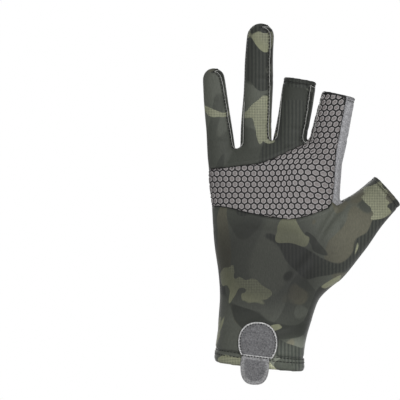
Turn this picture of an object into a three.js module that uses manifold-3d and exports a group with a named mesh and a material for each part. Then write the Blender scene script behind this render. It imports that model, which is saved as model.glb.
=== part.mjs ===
// A three-cut-finger fishing glove for the right hand, in worn form.
// Millimetres, +Z up to the fingertips, palm facing -Y, thumb on +X.
// The origin is the centre of the wrist opening.
import * as THREE from 'three';
import { mergeVertices } from 'three/addons/utils/BufferGeometryUtils.js';
import Module from 'manifold-3d';

const wasm = await Module();
wasm.setup();

// Cloth
const cloth = 1.2;
const hemThickness = 1.9;
const seamGap = 0.3;

// Hand and wrist
const handLength = 150;
const handWidth = 94;
const handDepth = 40;
const cuffWidth = 62.4;
const cuffDepth = 43;
const knuckleRise = 14;

// Wrist hem
const hemHeight = 9;
const hemSlope = THREE.MathUtils.degToRad(6);

// Hems round the open finger ends
const openingHem = 3;

// Fingers: root is a share of the hand, lengths run from there to the tip or the cut end.
// frontSeam and backSeam are where the gusset seams lie, as shares of the finger's half depth.
const fingers = {
  pinky: {
    length: 58.4, rootWidth: 19.6, endWidth: 14.8, depthShare: 0.9, lean: -6.1,
    rootAcross: -0.286, rootUp: 1.0, closed: true, frontSeam: 0.74, backSeam: 0.4,
  },
  ring: {
    length: 83.8, rootWidth: 21.4, endWidth: 18.4, depthShare: 0.88, lean: 2.3,
    rootAcross: -0.027, rootUp: 1.033, closed: true, frontSeam: 0.74, backSeam: 0.5,
  },
  middle: {
    length: 46, rootWidth: 22.8, endWidth: 22.6, depthShare: 0.84, lean: 9.6,
    rootAcross: 0.22, rootUp: 1.027, closed: false, frontSeam: 0.74, backSeam: 0.58,
  },
  index: {
    length: 39.9, rootWidth: 26.2, endWidth: 23, depthShare: 0.82, lean: 13.2,
    rootAcross: 0.491, rootUp: 1.0, closed: false, frontSeam: 0.74, backSeam: 0.9,
  },
};
const overrun = 6;
const rootDepth = 38;
const rootSwell = 0.12;
const gussetDrop = 8;
const tipMargin = 2.6;
const gussetFarSide = 1.5;
const gussetLap = 0.8;
const openingClearance = 4;
const clearPast = 18;

// Thumb: its sections run from inside the hand to the cut end, a little past it.
// along is a share of its length, the other columns are shares of its end's width and depth.
const thumbLength = 88;
const thumbEndWidth = 25.8;
const thumbDepth = 22.5;
const thumbLean = 49.4;
const thumbRoot = { across: 0.231, up: 0.432 };
const thumbSections = [
  { along: 0, aside: 0, width: 2.1, depth: 1.5 },
  { along: 0.15, aside: 0.02, width: 2.0, depth: 1.52 },
  { along: 0.32, aside: 0.05, width: 1.88, depth: 1.46 },
  { along: 0.55, aside: 0.07, width: 1.52, depth: 1.28 },
  { along: 0.77, aside: 0.06, width: 1.15, depth: 1.1 },
  { along: 1, aside: 0, width: 1, depth: 1 },
  { along: 1.07, aside: 0, width: 1, depth: 1 },
];
const thumbCrotchUp = 0.762;

// The gusset in the thumb's crotch: depths in millimetres, the other values as shares of the thumb's
// length or end width. bisector is the direction between the thumb and the index finger.
const thumbGusset = {
  front: 1.5, back: 7, start: 0.42, startAside: 0.1, spread: 0.4, crotchAside: 0.3, crotchDrop: 0.1,
};
const bisector = { across: 0.45, up: 0.89 };

// Grip patch: the edges of its band across the palm, as shares of the hand, and its side strip.
const gripUpperEdge = [
  { across: -0.60, up: 0.912 },
  { across: -0.361, up: 0.916 },
  { across: -0.160, up: 0.930 },
  { across: 0.011, up: 0.944 },
  { across: 0.145, up: 0.977 },
  { across: 0.262, up: 1.012 },
  { across: 0.361, up: 1.042 },
];
const gripLowerEdge = [
  { across: -0.60, up: 0.742 },
  { across: -0.354, up: 0.743 },
  { across: -0.227, up: 0.734 },
  { across: -0.086, up: 0.711 },
  { across: 0.034, up: 0.697 },
  { across: 0.220, up: 0.683 },
  { across: 0.361, up: 0.701 },
  { across: 0.510, up: 0.734 },
];
const gripUpperSteps = 14;
const gripLowerSteps = 16;
const gripMiddleUp = 0.84;
const indexStartAcross = 0.5;
const sidePanelWidth = 5;
const sideSeamUps = [0.93, 0.87, 0.81, thumbCrotchUp];

// Lower end of the side strip, as shares of its width; rise is a share of the hand's length.
const sideEnd = { aside: 0.35, drop: 0.5, past: 0.4, out: 4, rise: 0.4 };

// Pull tab on the palm side of the wrist
const tabThickness = 1.4;
const patchWidth = 27;
const patchTop = 30.5;
const patchMiddle = 16;
const patchAcross = -1.4;
const patchSquareness = 2.3;
const tabSeamUp = 5.5;
const tongueWidth = 19.6;
const tongueDrop = 13.5;
const tongueAcross = -4;
const tongueSquareness = 2.9;
const tabSides = 28;

// How far the worn glove curves towards the palm
const fingerCurl = 9;
const thumbCurl = 13;
const curlStart = { across: 0.35, up: 0.85 };

// The arch over the knuckles, as shares of the hand
const arch = { from: 0.6, to: 0.96, across: 0.17, reach: 0.5 };

// Sections of the hand from below the wrist to the knuckles.
// toHand blends the cuff's size, 0, into the hand's, 1; the other columns are shares of that size.
const handSections = [
  { up: -0.16, toHand: 0, pinky: 0.5, thumb: 0.5, front: 0.5, back: 0.5 },
  { up: 0, toHand: 0, pinky: 0.5, thumb: 0.5, front: 0.5, back: 0.5 },
  { up: 0.08, toHand: 0, pinky: 0.496, thumb: 0.505, front: 0.495, back: 0.49 },
  { up: 0.175, toHand: 0.15, pinky: 0.434, thumb: 0.512, front: 0.483, back: 0.468 },
  { up: 0.286, toHand: 0.45, pinky: 0.362, thumb: 0.523, front: 0.487, back: 0.434 },
  { up: 0.36, toHand: 0.65, pinky: 0.335, thumb: 0.535, front: 0.495, back: 0.418 },
  { up: 0.435, toHand: 0.85, pinky: 0.325, thumb: 0.543, front: 0.5, back: 0.4 },
  { up: 0.547, toHand: 1, pinky: 0.331, thumb: 0.56, front: 0.49, back: 0.385 },
  { up: 0.66, toHand: 1, pinky: 0.346, thumb: 0.58, front: 0.465, back: 0.375 },
  { up: 0.773, toHand: 1, pinky: 0.361, thumb: 0.592, front: 0.425, back: 0.36 },
  { up: 0.873, toHand: 1, pinky: 0.374, thumb: 0.608, front: 0.35, back: 0.32 },
  { up: 0.935, toHand: 1, pinky: 0.372, thumb: 0.612, front: 0.25, back: 0.24 },
  { up: 0.963, toHand: 1, pinky: 0.345, thumb: 0.585, front: 0.16, back: 0.16 },
];
const handSides = 34;
const handRings = 18;
const fingerSides = 16;
const thumbSides = 20;
const fingerSteps = 7;
const tipAngles = [25, 45, 62, 77];
const handSquareness = 2.5;
const fingerSquareness = 2.15;
const reach = 400;
const layerCells = { across: 16, up: 20 };
const layerSpan = 3;
const layerShift = 0.25;
const sharpestSpread = 0.5;

// Solids

function solidOf(geometry) {
  const bare = geometry.index ? geometry.toNonIndexed() : geometry.clone();
  bare.deleteAttribute('normal');
  bare.deleteAttribute('uv');
  const merged = mergeVertices(bare);
  return new wasm.Manifold(new wasm.Mesh({
    numProp: 3,
    vertProperties: new Float32Array(merged.attributes.position.array),
    triVerts: new Uint32Array(merged.index.array),
  }));
}

function joined(solids) {
  return solids.reduce((sum, solid) => sum.add(solid));
}

function superPower(value, squareness) {
  return Math.sign(value) * Math.abs(value) ** (2 / squareness);
}

// A closed tube lofted through oval rings: an extruded disc whose rings are moved one by one.
function loft(rings, sides, squareness) {
  const disc = new THREE.Shape();
  disc.absarc(0, 0, 1, 0, 2 * Math.PI, false);
  const tube = new THREE.ExtrudeGeometry(disc, {
    depth: rings.length - 1,
    steps: rings.length - 1,
    curveSegments: sides / 2,
    bevelEnabled: false,
  });
  const points = tube.attributes.position;
  for (let i = 0; i < points.count; i += 1) {
    const ring = rings[Math.round(points.getZ(i))];
    const across = superPower(points.getX(i), squareness) * ring.halfWidth;
    const through = superPower(points.getY(i), squareness);
    const x = ring.x + across * Math.cos(ring.lean);
    const level = ring.z - across * Math.sin(ring.lean);
    const z = level + (ring.lift ? ring.lift(x) : 0);
    const y = through * (through < 0 ? ring.front : ring.back);
    points.setXYZ(i, x, y + curlAt(x, z), z);
  }
  return solidOf(tube);
}

// A prism through the glove from an outline seen from the palm.
function prism(outline) {
  const solid = new THREE.ExtrudeGeometry(new THREE.Shape(outline), { depth: reach, bevelEnabled: false });
  solid.rotateX(Math.PI / 2);
  solid.translate(0, reach / 2, 0);
  return solidOf(solid);
}

// A layer of the glove between two depths, which curves with the fingers and the thumb.
function layer(yLow, yHigh) {
  const width = layerSpan * handWidth;
  const height = layerSpan * handLength;
  const block = new THREE.BoxGeometry(width, yHigh - yLow, height, layerCells.across, 1, layerCells.up);
  block.translate(layerShift * width, (yLow + yHigh) / 2, layerShift * height);
  const points = block.attributes.position;
  for (let i = 0; i < points.count; i += 1) {
    points.setY(i, points.getY(i) + curlAt(points.getX(i), points.getZ(i)));
  }
  return solidOf(block);
}

// A block standing on a point, its height along a direction that leans from +Z towards +X.
function leaningBlock(point, lean, width, low, high) {
  const block = new THREE.BoxGeometry(width, reach, high - low);
  block.translate(0, 0, (low + high) / 2);
  block.rotateY(lean);
  block.translate(point.x, 0, point.y);
  return solidOf(block);
}

// The outline moved outwards by a distance, corner by corner.
function grownOutline(outline, distance) {
  const sense = THREE.ShapeUtils.isClockWise(outline) ? -1 : 1;
  return outline.map((corner, i) => {
    const before = outline[(i + outline.length - 1) % outline.length];
    const after = outline[(i + 1) % outline.length];
    const first = corner.clone().sub(before).normalize();
    const second = after.clone().sub(corner).normalize();
    const normal = new THREE.Vector2(first.y + second.y, -first.x - second.x).normalize();
    const spread = Math.max(sharpestSpread, normal.x * second.y - normal.y * second.x);
    return corner.clone().addScaledVector(normal, sense * distance / spread);
  });
}

function mainBody(solid) {
  const bodies = solid.decompose();
  return bodies.reduce((most, body) => (body.volume() > most.volume() ? body : most));
}

// Places on the glove

function handPoint(share) {
  return new THREE.Vector2(share.across * handWidth, share.up * handLength);
}

function rowSize(row) {
  return {
    width: THREE.MathUtils.lerp(cuffWidth, handWidth, row.toHand),
    depth: THREE.MathUtils.lerp(cuffDepth, handDepth, row.toHand),
  };
}

function handRow(row) {
  const size = rowSize(row);
  return {
    up: row.up * handLength,
    pinky: row.pinky * size.width,
    thumb: row.thumb * size.width,
    front: row.front * size.depth,
    back: row.back * size.depth,
  };
}

function knuckleLift(up) {
  const share = THREE.MathUtils.smoothstep(up / handLength, arch.from, arch.to);
  const top = arch.across * handWidth;
  return (x) => knuckleRise * share * (1 - ((x - top) / (arch.reach * handWidth)) ** 2);
}

function handRingsAt(shrink) {
  const rows = handSections.map(handRow);
  const sides = rows.map((row) => new THREE.Vector3(row.pinky, row.thumb, row.up));
  const faces = rows.map((row) => new THREE.Vector3(row.front, row.back, row.up));
  const edges = new THREE.CatmullRomCurve3(sides);
  const depths = new THREE.CatmullRomCurve3(faces);
  const rings = [];
  for (let i = 0; i <= handRings; i += 1) {
    const edge = edges.getPoint(i / handRings);
    const depth = depths.getPoint(i / handRings);
    const up = i === handRings ? edge.z - shrink : edge.z;
    rings.push({
      x: (edge.y - edge.x) / 2,
      z: up,
      lean: 0,
      halfWidth: (edge.x + edge.y) / 2 - shrink,
      front: depth.x - shrink,
      back: depth.y - shrink,
      lift: knuckleLift(edge.z),
    });
  }
  return rings;
}

// The edge of the hand on the thumb side at a height, between the rows of the table.
function thumbSideAt(up) {
  const rows = handSections.map(handRow);
  const above = rows.findIndex((row) => row.up >= up);
  const low = rows[above - 1];
  const high = rows[above];
  return THREE.MathUtils.mapLinear(up, low.up, high.up, low.thumb, high.thumb);
}

function leanOf(finger) {
  return THREE.MathUtils.degToRad(finger.lean);
}

function widthAt(finger, along) {
  const share = THREE.MathUtils.clamp(along / finger.length, 0, 1);
  return THREE.MathUtils.lerp(finger.rootWidth, finger.endWidth, share);
}

// A point of a finger in the palm's view: along its axis from the root, and across it.
function fingerPoint(finger, along, across) {
  const root = handPoint({ across: finger.rootAcross, up: finger.rootUp });
  const lean = leanOf(finger);
  return new THREE.Vector2(
    root.x + along * Math.sin(lean) + across * Math.cos(lean),
    root.y + along * Math.cos(lean) - across * Math.sin(lean),
  );
}

// Worn form: the fingers and the thumb curve a little towards the palm.
const thumb = { lean: thumbLean, rootAcross: thumbRoot.across, rootUp: thumbRoot.up };
const ringTip = fingerPoint(fingers.ring, fingers.ring.length, 0);
const thumbTip = fingerPoint(thumb, thumbLength, 0);
const curlFrom = handPoint(curlStart);

function curlAt(x, z) {
  const upFinger = Math.max(0, z - curlFrom.y) / (ringTip.y - curlFrom.y);
  const outThumb = Math.max(0, x - curlFrom.x) / (thumbTip.x - curlFrom.x);
  return -fingerCurl * upFinger ** 2 - thumbCurl * outThumb ** 2;
}

function fingerRing(finger, along, scale, shrink) {
  const centre = fingerPoint(finger, along, 0);
  const half = widthAt(finger, along) / 2;
  const rootSpread = THREE.MathUtils.clamp(-along / rootDepth, 0, 1);
  return {
    x: centre.x,
    z: centre.y,
    lean: leanOf(finger),
    halfWidth: (half - shrink) * scale,
    front: (half * finger.depthShare * (1 + rootSwell * rootSpread) - shrink) * scale,
    back: (half * finger.depthShare * (1 + rootSwell * rootSpread) - shrink) * scale,
  };
}

function fingerLoft(finger, shrink) {
  const rings = [];
  const straight = finger.closed ? finger.length - finger.endWidth / 2 : finger.length + overrun;
  for (let i = 0; i <= fingerSteps; i += 1) {
    const along = THREE.MathUtils.lerp(-rootDepth, straight, i / fingerSteps);
    rings.push(fingerRing(finger, along, 1, shrink));
  }
  if (finger.closed) {
    const radius = finger.endWidth / 2 - shrink;
    for (const angle of tipAngles) {
      const turn = THREE.MathUtils.degToRad(angle);
      rings.push(fingerRing(finger, straight + radius * Math.sin(turn), Math.cos(turn), shrink));
    }
  }
  return loft(rings, fingerSides, fingerSquareness);
}

function thumbLoft(shrink) {
  const rings = thumbSections.map((row) => {
    const centre = fingerPoint(thumb, row.along * thumbLength, row.aside * thumbEndWidth);
    return {
      x: centre.x,
      z: centre.y,
      lean: leanOf(thumb),
      halfWidth: row.width * thumbEndWidth / 2 - shrink,
      front: row.depth * thumbDepth / 2 - shrink,
      back: row.depth * thumbDepth / 2 - shrink,
    };
  });
  return loft(rings, thumbSides, fingerSquareness);
}

// The whole form of the glove, less a wall all round
function form(shrink) {
  return joined([
    loft(handRingsAt(shrink), handSides, handSquareness),
    thumbLoft(shrink),
    ...Object.values(fingers).map((finger) => fingerLoft(finger, shrink)),
  ]);
}

// Openings
const openEnds = {
  middle: { point: fingerPoint(fingers.middle, fingers.middle.length, 0), lean: leanOf(fingers.middle),
    width: fingers.middle.endWidth + openingClearance },
  index: { point: fingerPoint(fingers.index, fingers.index.length, 0), lean: leanOf(fingers.index),
    width: fingers.index.endWidth + openingClearance },
  thumb: { point: fingerPoint(thumb, thumbLength, 0), lean: leanOf(thumb), width: 2 * thumbEndWidth },
};
const wrist = { point: new THREE.Vector2(0, 0), lean: hemSlope };

const beyondOpenings = joined([
  ...Object.values(openEnds).map((end) => leaningBlock(end.point, end.lean, end.width, 0, clearPast)),
  leaningBlock(wrist.point, wrist.lean, reach, -handLength, 0),
]);

const outer = form(0);
const shell = outer.subtract(form(cloth)).subtract(beyondOpenings);
const doubledShell = outer.subtract(form(hemThickness)).subtract(beyondOpenings);

const palmSide = layer(-reach / 4, -seamGap / 2);
const backSide = layer(seamGap / 2, reach / 4);

// Regions of the pieces. Each is given with no growth for the piece itself,
// and with the seam gap for what the pieces after it leave free.

function hemRegion(grow) {
  return leaningBlock(wrist.point, wrist.lean, reach, -hemThickness, hemHeight + grow);
}

function openingRegion(end, grow) {
  return leaningBlock(end.point, end.lean, end.width, -openingHem - grow, overrun);
}

// One side of a finger from its axis to the line midway in the gap beside it.
function gussetSide(finger, gapLine, yLow, yHigh, grow) {
  const top = finger.closed ? finger.length - tipMargin : finger.length + clearPast;
  const outline = [
    fingerPoint(finger, -gussetDrop, 0),
    fingerPoint(finger, top, 0),
    gapLine(top / finger.length),
    gapLine(-gussetDrop / finger.length),
  ];
  return prism(grownOutline(outline, grow)).intersect(layer(yLow - grow, yHigh + grow));
}

function gussetRegion(left, right, grow) {
  const lowest = fingerPoint(left, 0, left.rootWidth / 2)
    .lerp(fingerPoint(right, 0, -right.rootWidth / 2), 0.5);
  const shorter = Math.min(left.length, right.length);
  const highest = fingerPoint(left, shorter, widthAt(left, shorter) / 2)
    .lerp(fingerPoint(right, shorter, -widthAt(right, shorter) / 2), 0.5);
  const gapLine = (length, shift) => (share) => lowest.clone().lerp(highest, share * length / shorter)
    .add(new THREE.Vector2(shift, 0));
  const leftDepth = left.endWidth / 2 * left.depthShare;
  const rightDepth = right.endWidth / 2 * right.depthShare;
  const leftLine = gapLine(left.length, gussetLap);
  const rightLine = gapLine(right.length, -gussetLap);
  return gussetSide(left, leftLine, -left.frontSeam * leftDepth, gussetFarSide, grow)
    .add(gussetSide(right, rightLine, -gussetFarSide, right.backSeam * rightDepth, grow));
}

const crotch = new THREE.Vector2(thumbSideAt(thumbCrotchUp * handLength), thumbCrotchUp * handLength);

function thumbGussetRegion(grow) {
  const away = new THREE.Vector2(bisector.across, bisector.up);
  const low = new THREE.Vector2(-thumbGusset.crotchAside, -thumbGusset.crotchDrop);
  const outline = [
    fingerPoint(thumb, thumbGusset.start * thumbLength, thumbGusset.startAside * thumbEndWidth),
    fingerPoint(thumb, thumbLength + overrun, 0),
    fingerPoint(thumb, thumbLength + overrun, -thumbEndWidth),
    crotch.clone().addScaledVector(away, thumbGusset.spread * thumbLength),
    crotch.clone().add(away),
    crotch.clone().addScaledVector(low, thumbEndWidth),
  ];
  return prism(grownOutline(outline, grow))
    .intersect(layer(-thumbGusset.front - grow, thumbGusset.back + grow));
}

// The seam between the grip patch and its plain side strip, from the cut end to the thumb.
const sideSeam = [
  fingerPoint(fingers.index, fingers.index.length + clearPast, fingers.index.endWidth / 2 - sidePanelWidth),
  fingerPoint(fingers.index, 0, fingers.index.rootWidth / 2 - sidePanelWidth),
  ...sideSeamUps.map((share) => new THREE.Vector2(
    thumbSideAt(share * handLength) - sidePanelWidth,
    share * handLength,
  )),
];

function sideRegion(grow) {
  const outline = [
    ...sideSeam,
    crotch.clone().add(new THREE.Vector2(-sideEnd.aside * sidePanelWidth, -sideEnd.drop * sidePanelWidth)),
    crotch.clone().add(new THREE.Vector2(sideEnd.past * sidePanelWidth, 0)),
    crotch.clone().add(new THREE.Vector2(sideEnd.out * sidePanelWidth, sideEnd.rise * handLength)),
    fingerPoint(fingers.index, fingers.index.length + clearPast, 2 * fingers.index.endWidth),
  ];
  return prism(grownOutline(outline, grow)).intersect(palmSide);
}

const upperEdge = new THREE.SplineCurve(gripUpperEdge.map(handPoint)).getPoints(gripUpperSteps);
const lowerEdge = new THREE.SplineCurve(gripLowerEdge.map(handPoint)).getPoints(gripLowerSteps);

function gripRegion(grow) {
  const between = fingerPoint(fingers.middle, fingers.middle.length + clearPast, fingers.middle.endWidth / 2)
    .lerp(fingerPoint(fingers.index, fingers.index.length + clearPast, -fingers.index.endWidth / 2), 0.5);
  const outline = [...upperEdge, between, ...sideSeam, ...lowerEdge.slice().reverse()];
  return prism(grownOutline(outline, grow)).intersect(palmSide);
}

// Everything above the middle of the grip band, as far as the index finger
const aboveGrip = prism([
  handPoint({ across: -1, up: gripMiddleUp }),
  handPoint({ across: indexStartAcross, up: gripMiddleUp }),
  handPoint({ across: indexStartAcross, up: layerSpan }),
  handPoint({ across: -1, up: layerSpan }),
]);

// Cutting the shell into its sewn pieces
const pieces = {};
let claimed = hemRegion(seamGap);
pieces.cuff_hem = doubledShell.intersect(hemRegion(0));

for (const [name, end] of Object.entries(openEnds)) {
  pieces[`${name}_opening_hem`] = doubledShell.intersect(openingRegion(end, 0));
  claimed = claimed.add(openingRegion(end, seamGap));
}

const gussetPairs = [['pinky', 'ring'], ['ring', 'middle'], ['middle', 'index']];
for (const [left, right] of gussetPairs) {
  const name = `${left}_${right}_gusset`;
  pieces[name] = shell.intersect(gussetRegion(fingers[left], fingers[right], 0)).subtract(claimed);
  claimed = claimed.add(gussetRegion(fingers[left], fingers[right], seamGap));
}

pieces.thumb_gusset = shell.intersect(thumbGussetRegion(0)).subtract(claimed);
claimed = claimed.add(thumbGussetRegion(seamGap));

pieces.index_side_panel = shell.intersect(sideRegion(0)).subtract(claimed);
claimed = claimed.add(sideRegion(seamGap));

pieces.grip_patch = shell.intersect(gripRegion(0)).subtract(claimed);
const unclaimed = shell.subtract(claimed);
const palm = unclaimed.intersect(palmSide).subtract(gripRegion(seamGap));
pieces.finger_front_panel = palm.intersect(aboveGrip);
pieces.palm_panel = palm.subtract(aboveGrip);
pieces.back_panel = unclaimed.intersect(backSide);

// Pull tab: two thicknesses of felt that follow the wrist, one sewn on and one hanging free
function ovalOutline(centre, halfWidth, halfHeight, squareness) {
  const points = [];
  for (let i = 0; i < tabSides; i += 1) {
    const turn = 2 * Math.PI * i / tabSides;
    points.push(new THREE.Vector2(
      centre.x + halfWidth * superPower(Math.cos(turn), squareness),
      centre.y + halfHeight * superPower(Math.sin(turn), squareness),
    ));
  }
  return points;
}

const felt = loft(handRingsAt(-seamGap - tabThickness), handSides, handSquareness)
  .subtract(loft(handRingsAt(-seamGap), handSides, handSquareness));
const aboveTabSeam = leaningBlock(new THREE.Vector2(0, tabSeamUp), 0, reach, 0, reach);
const belowTabSeam = leaningBlock(new THREE.Vector2(0, tabSeamUp), 0, reach, -reach, -seamGap);
const patchCentre = new THREE.Vector2(patchAcross, patchMiddle);
const patchOutline = ovalOutline(patchCentre, patchWidth / 2, patchTop - patchMiddle, patchSquareness);
const tongueCentre = new THREE.Vector2(tongueAcross, tabSeamUp);
const tongueOutline = ovalOutline(tongueCentre, tongueWidth / 2, tabSeamUp + tongueDrop, tongueSquareness);
pieces.pull_tab_patch = felt.intersect(prism(patchOutline)).intersect(palmSide).intersect(aboveTabSeam);
pieces.pull_tab_tongue = felt.intersect(prism(tongueOutline)).intersect(palmSide).intersect(belowTabSeam);

function geometryOf(solid) {
  const mesh = solid.getMesh();
  const geometry = new THREE.BufferGeometry();
  geometry.setAttribute('position', new THREE.BufferAttribute(new Float32Array(mesh.vertProperties), 3));
  geometry.setIndex(new THREE.BufferAttribute(new Uint32Array(mesh.triVerts), 1));
  geometry.computeVertexNormals();
  return geometry;
}

// Materials
const camoJersey = new THREE.MeshStandardMaterial({ color: '#54564f', roughness: 0.75, metalness: 0 });
const darkJersey = new THREE.MeshStandardMaterial({ color: '#33352f', roughness: 0.8, metalness: 0 });
const hemJersey = new THREE.MeshStandardMaterial({ color: '#3d3f3a', roughness: 0.8, metalness: 0 });
const gripFilm = new THREE.MeshStandardMaterial({ color: '#8f8c8c', roughness: 0.6, metalness: 0 });
const greySuede = new THREE.MeshStandardMaterial({ color: '#8a8a8c', roughness: 0.9, metalness: 0 });
const greyFelt = new THREE.MeshStandardMaterial({ color: '#6c6c6c', roughness: 0.95, metalness: 0 });

const finishes = {
  back_panel: camoJersey,
  palm_panel: camoJersey,
  finger_front_panel: camoJersey,
  grip_patch: gripFilm,
  index_side_panel: greySuede,
  pinky_ring_gusset: darkJersey,
  ring_middle_gusset: darkJersey,
  middle_index_gusset: darkJersey,
  thumb_gusset: darkJersey,
  cuff_hem: hemJersey,
  index_opening_hem: hemJersey,
  middle_opening_hem: hemJersey,
  thumb_opening_hem: hemJersey,
  pull_tab_patch: greyFelt,
  pull_tab_tongue: greyFelt,
};

const glove = new THREE.Group();
for (const [name, finish] of Object.entries(finishes)) {
  const mesh = new THREE.Mesh(geometryOf(mainBody(pieces[name])), finish.clone());
  mesh.name = name;
  glove.add(mesh);
}

export default glove;
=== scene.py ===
import math
import random

import bmesh
import bpy
import numpy as np
from mathutils import Matrix, Vector
from mathutils.bvhtree import BVHTree
from mathutils.kdtree import KDTree


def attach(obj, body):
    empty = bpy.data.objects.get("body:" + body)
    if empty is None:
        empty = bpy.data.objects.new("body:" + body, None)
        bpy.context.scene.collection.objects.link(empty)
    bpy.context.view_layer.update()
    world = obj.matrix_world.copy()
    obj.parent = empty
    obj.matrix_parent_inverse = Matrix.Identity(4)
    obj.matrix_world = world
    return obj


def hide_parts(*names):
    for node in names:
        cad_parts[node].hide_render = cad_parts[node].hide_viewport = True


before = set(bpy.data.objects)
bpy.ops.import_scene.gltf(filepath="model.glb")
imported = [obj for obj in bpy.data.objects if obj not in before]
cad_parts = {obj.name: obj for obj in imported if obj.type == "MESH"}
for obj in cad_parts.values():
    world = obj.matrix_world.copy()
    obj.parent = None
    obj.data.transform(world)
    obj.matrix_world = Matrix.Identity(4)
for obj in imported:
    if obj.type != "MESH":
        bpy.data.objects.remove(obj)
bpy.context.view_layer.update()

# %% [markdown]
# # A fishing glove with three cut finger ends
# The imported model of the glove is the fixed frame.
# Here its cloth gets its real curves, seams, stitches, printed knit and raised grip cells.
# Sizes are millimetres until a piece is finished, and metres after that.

MM = 0.001
dice = random.Random(7)
print("nodes in the frame:", sorted(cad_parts))

# %% [markdown]
# ## The form of the worn glove
# The sections are those of the model: shares of the hand's length, width and depth.
# Each finger and the thumb has its own axis in the palm's view.

# %% Sizes of the hand and the fingers
HAND_LENGTH, HAND_WIDTH, HAND_DEPTH = 150.0, 94.0, 40.0
CUFF_WIDTH, CUFF_DEPTH = 62.4, 43.0
KNUCKLE_RISE = 14.0
CLOTH, HEM_CLOTH = 1.2, 1.9
HEM_HEIGHT, HEM_SLOPE = 9.0, math.radians(6)
OPENING_HEM = 3.0
ROOT_DEPTH, ROOT_SWELL = 38.0, 0.12
GUSSET_DROP, TIP_MARGIN, FAR_SIDE = 8.0, 2.6, 1.5
SIDE_STRIP = 5.0

FINGER_COLUMNS = ("length", "root_width", "end_width", "depth", "lean", "across", "up", "closed", "front_seam", "back_seam")
FINGERS = {
    name: dict(zip(FINGER_COLUMNS, row))
    for name, row in {
        "pinky": (58.4, 19.6, 14.8, 0.90, -6.1, -0.286, 1.000, True, 0.74, 0.40),
        "ring": (83.8, 21.4, 18.4, 0.88, 2.3, -0.027, 1.033, True, 0.74, 0.50),
        "middle": (46.0, 22.8, 22.6, 0.84, 9.6, 0.220, 1.027, False, 0.74, 0.58),
        "index": (39.9, 26.2, 23.0, 0.82, 13.2, 0.491, 1.000, False, 0.74, 0.90),
    }.items()
}
THUMB = dict(length=88.0, root_width=25.8, end_width=25.8, depth=22.5, lean=49.4, across=0.231, up=0.432)

# up the hand, from the cuff's size to the hand's, then shares of that size
HAND_ROWS = [
    (-0.160, 0.00, 0.500, 0.500, 0.500, 0.500),
    (0.000, 0.00, 0.500, 0.500, 0.500, 0.500),
    (0.080, 0.00, 0.496, 0.505, 0.495, 0.490),
    (0.175, 0.15, 0.434, 0.512, 0.483, 0.468),
    (0.286, 0.45, 0.362, 0.523, 0.487, 0.434),
    (0.360, 0.65, 0.335, 0.535, 0.495, 0.418),
    (0.435, 0.85, 0.325, 0.543, 0.500, 0.400),
    (0.547, 1.00, 0.331, 0.560, 0.490, 0.385),
    (0.660, 1.00, 0.346, 0.580, 0.465, 0.375),
    (0.773, 1.00, 0.361, 0.592, 0.425, 0.360),
    (0.873, 1.00, 0.374, 0.608, 0.350, 0.320),
    (0.935, 1.00, 0.372, 0.612, 0.250, 0.240),
    (0.963, 1.00, 0.345, 0.585, 0.160, 0.160),
]
# along the thumb, aside, and width and depth as shares of those at its end
THUMB_ROWS = [
    (0.00, 0.00, 2.10, 1.50),
    (0.15, 0.02, 2.00, 1.52),
    (0.32, 0.05, 1.88, 1.46),
    (0.55, 0.07, 1.52, 1.28),
    (0.77, 0.06, 1.15, 1.10),
    (1.00, 0.00, 1.00, 1.00),
    (1.07, 0.00, 1.00, 1.00),
]


def axis_point(finger, along, across=0.0):
    """A point in the palm's view: along a finger from its root, and across it."""
    lean = math.radians(finger["lean"])
    return np.array([
        finger["across"] * HAND_WIDTH + along * math.sin(lean) + across * math.cos(lean),
        finger["up"] * HAND_LENGTH + along * math.cos(lean) - across * math.sin(lean),
    ])


def width_at(finger, along):
    share = min(max(along / finger["length"], 0), 1)
    return finger["root_width"] + (finger["end_width"] - finger["root_width"]) * share


RING_TIP = axis_point(FINGERS["ring"], FINGERS["ring"]["length"])
THUMB_TIP = axis_point(THUMB, THUMB["length"])
FINGER_CURL, THUMB_CURL = 9.0, 13.0
CURL_UP, CURL_ACROSS = 0.85 * HAND_LENGTH, 0.35 * HAND_WIDTH


def curl_at(x, z):
    """How far the worn glove bends towards the palm at a place in the palm's view."""
    up = np.maximum(0, z - CURL_UP) / (RING_TIP[1] - CURL_UP)
    out = np.maximum(0, x - CURL_ACROSS) / (THUMB_TIP[0] - CURL_ACROSS)
    return -FINGER_CURL * up**2 - THUMB_CURL * out**2


print("ring fingertip", RING_TIP.round(1), "thumb end", THUMB_TIP.round(1))

# %% [markdown]
# A tube starts as a disc. It is extruded once for each section, and every ring then takes its section's oval.


# %% Lofted tubes
def smooth_rows(rows, count):
    """Rows of a table with smooth in-between rows."""
    table = np.array(rows, float)
    padded = np.vstack([2 * table[0] - table[1], table, 2 * table[-1] - table[-2]])
    out = []
    for t in np.linspace(0, len(table) - 1, count):
        i = min(int(t), len(table) - 2)
        f = t - i
        a, b, c, d = padded[i:i + 4]
        out.append(0.5 * (2 * b + (c - a) * f + (2 * a - 5 * b + 4 * c - d) * f**2 + (3 * b - a - 3 * c + d) * f**3))
    return out


def over_power(value, squareness):
    return math.copysign(abs(value) ** (2 / squareness), value)


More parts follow.
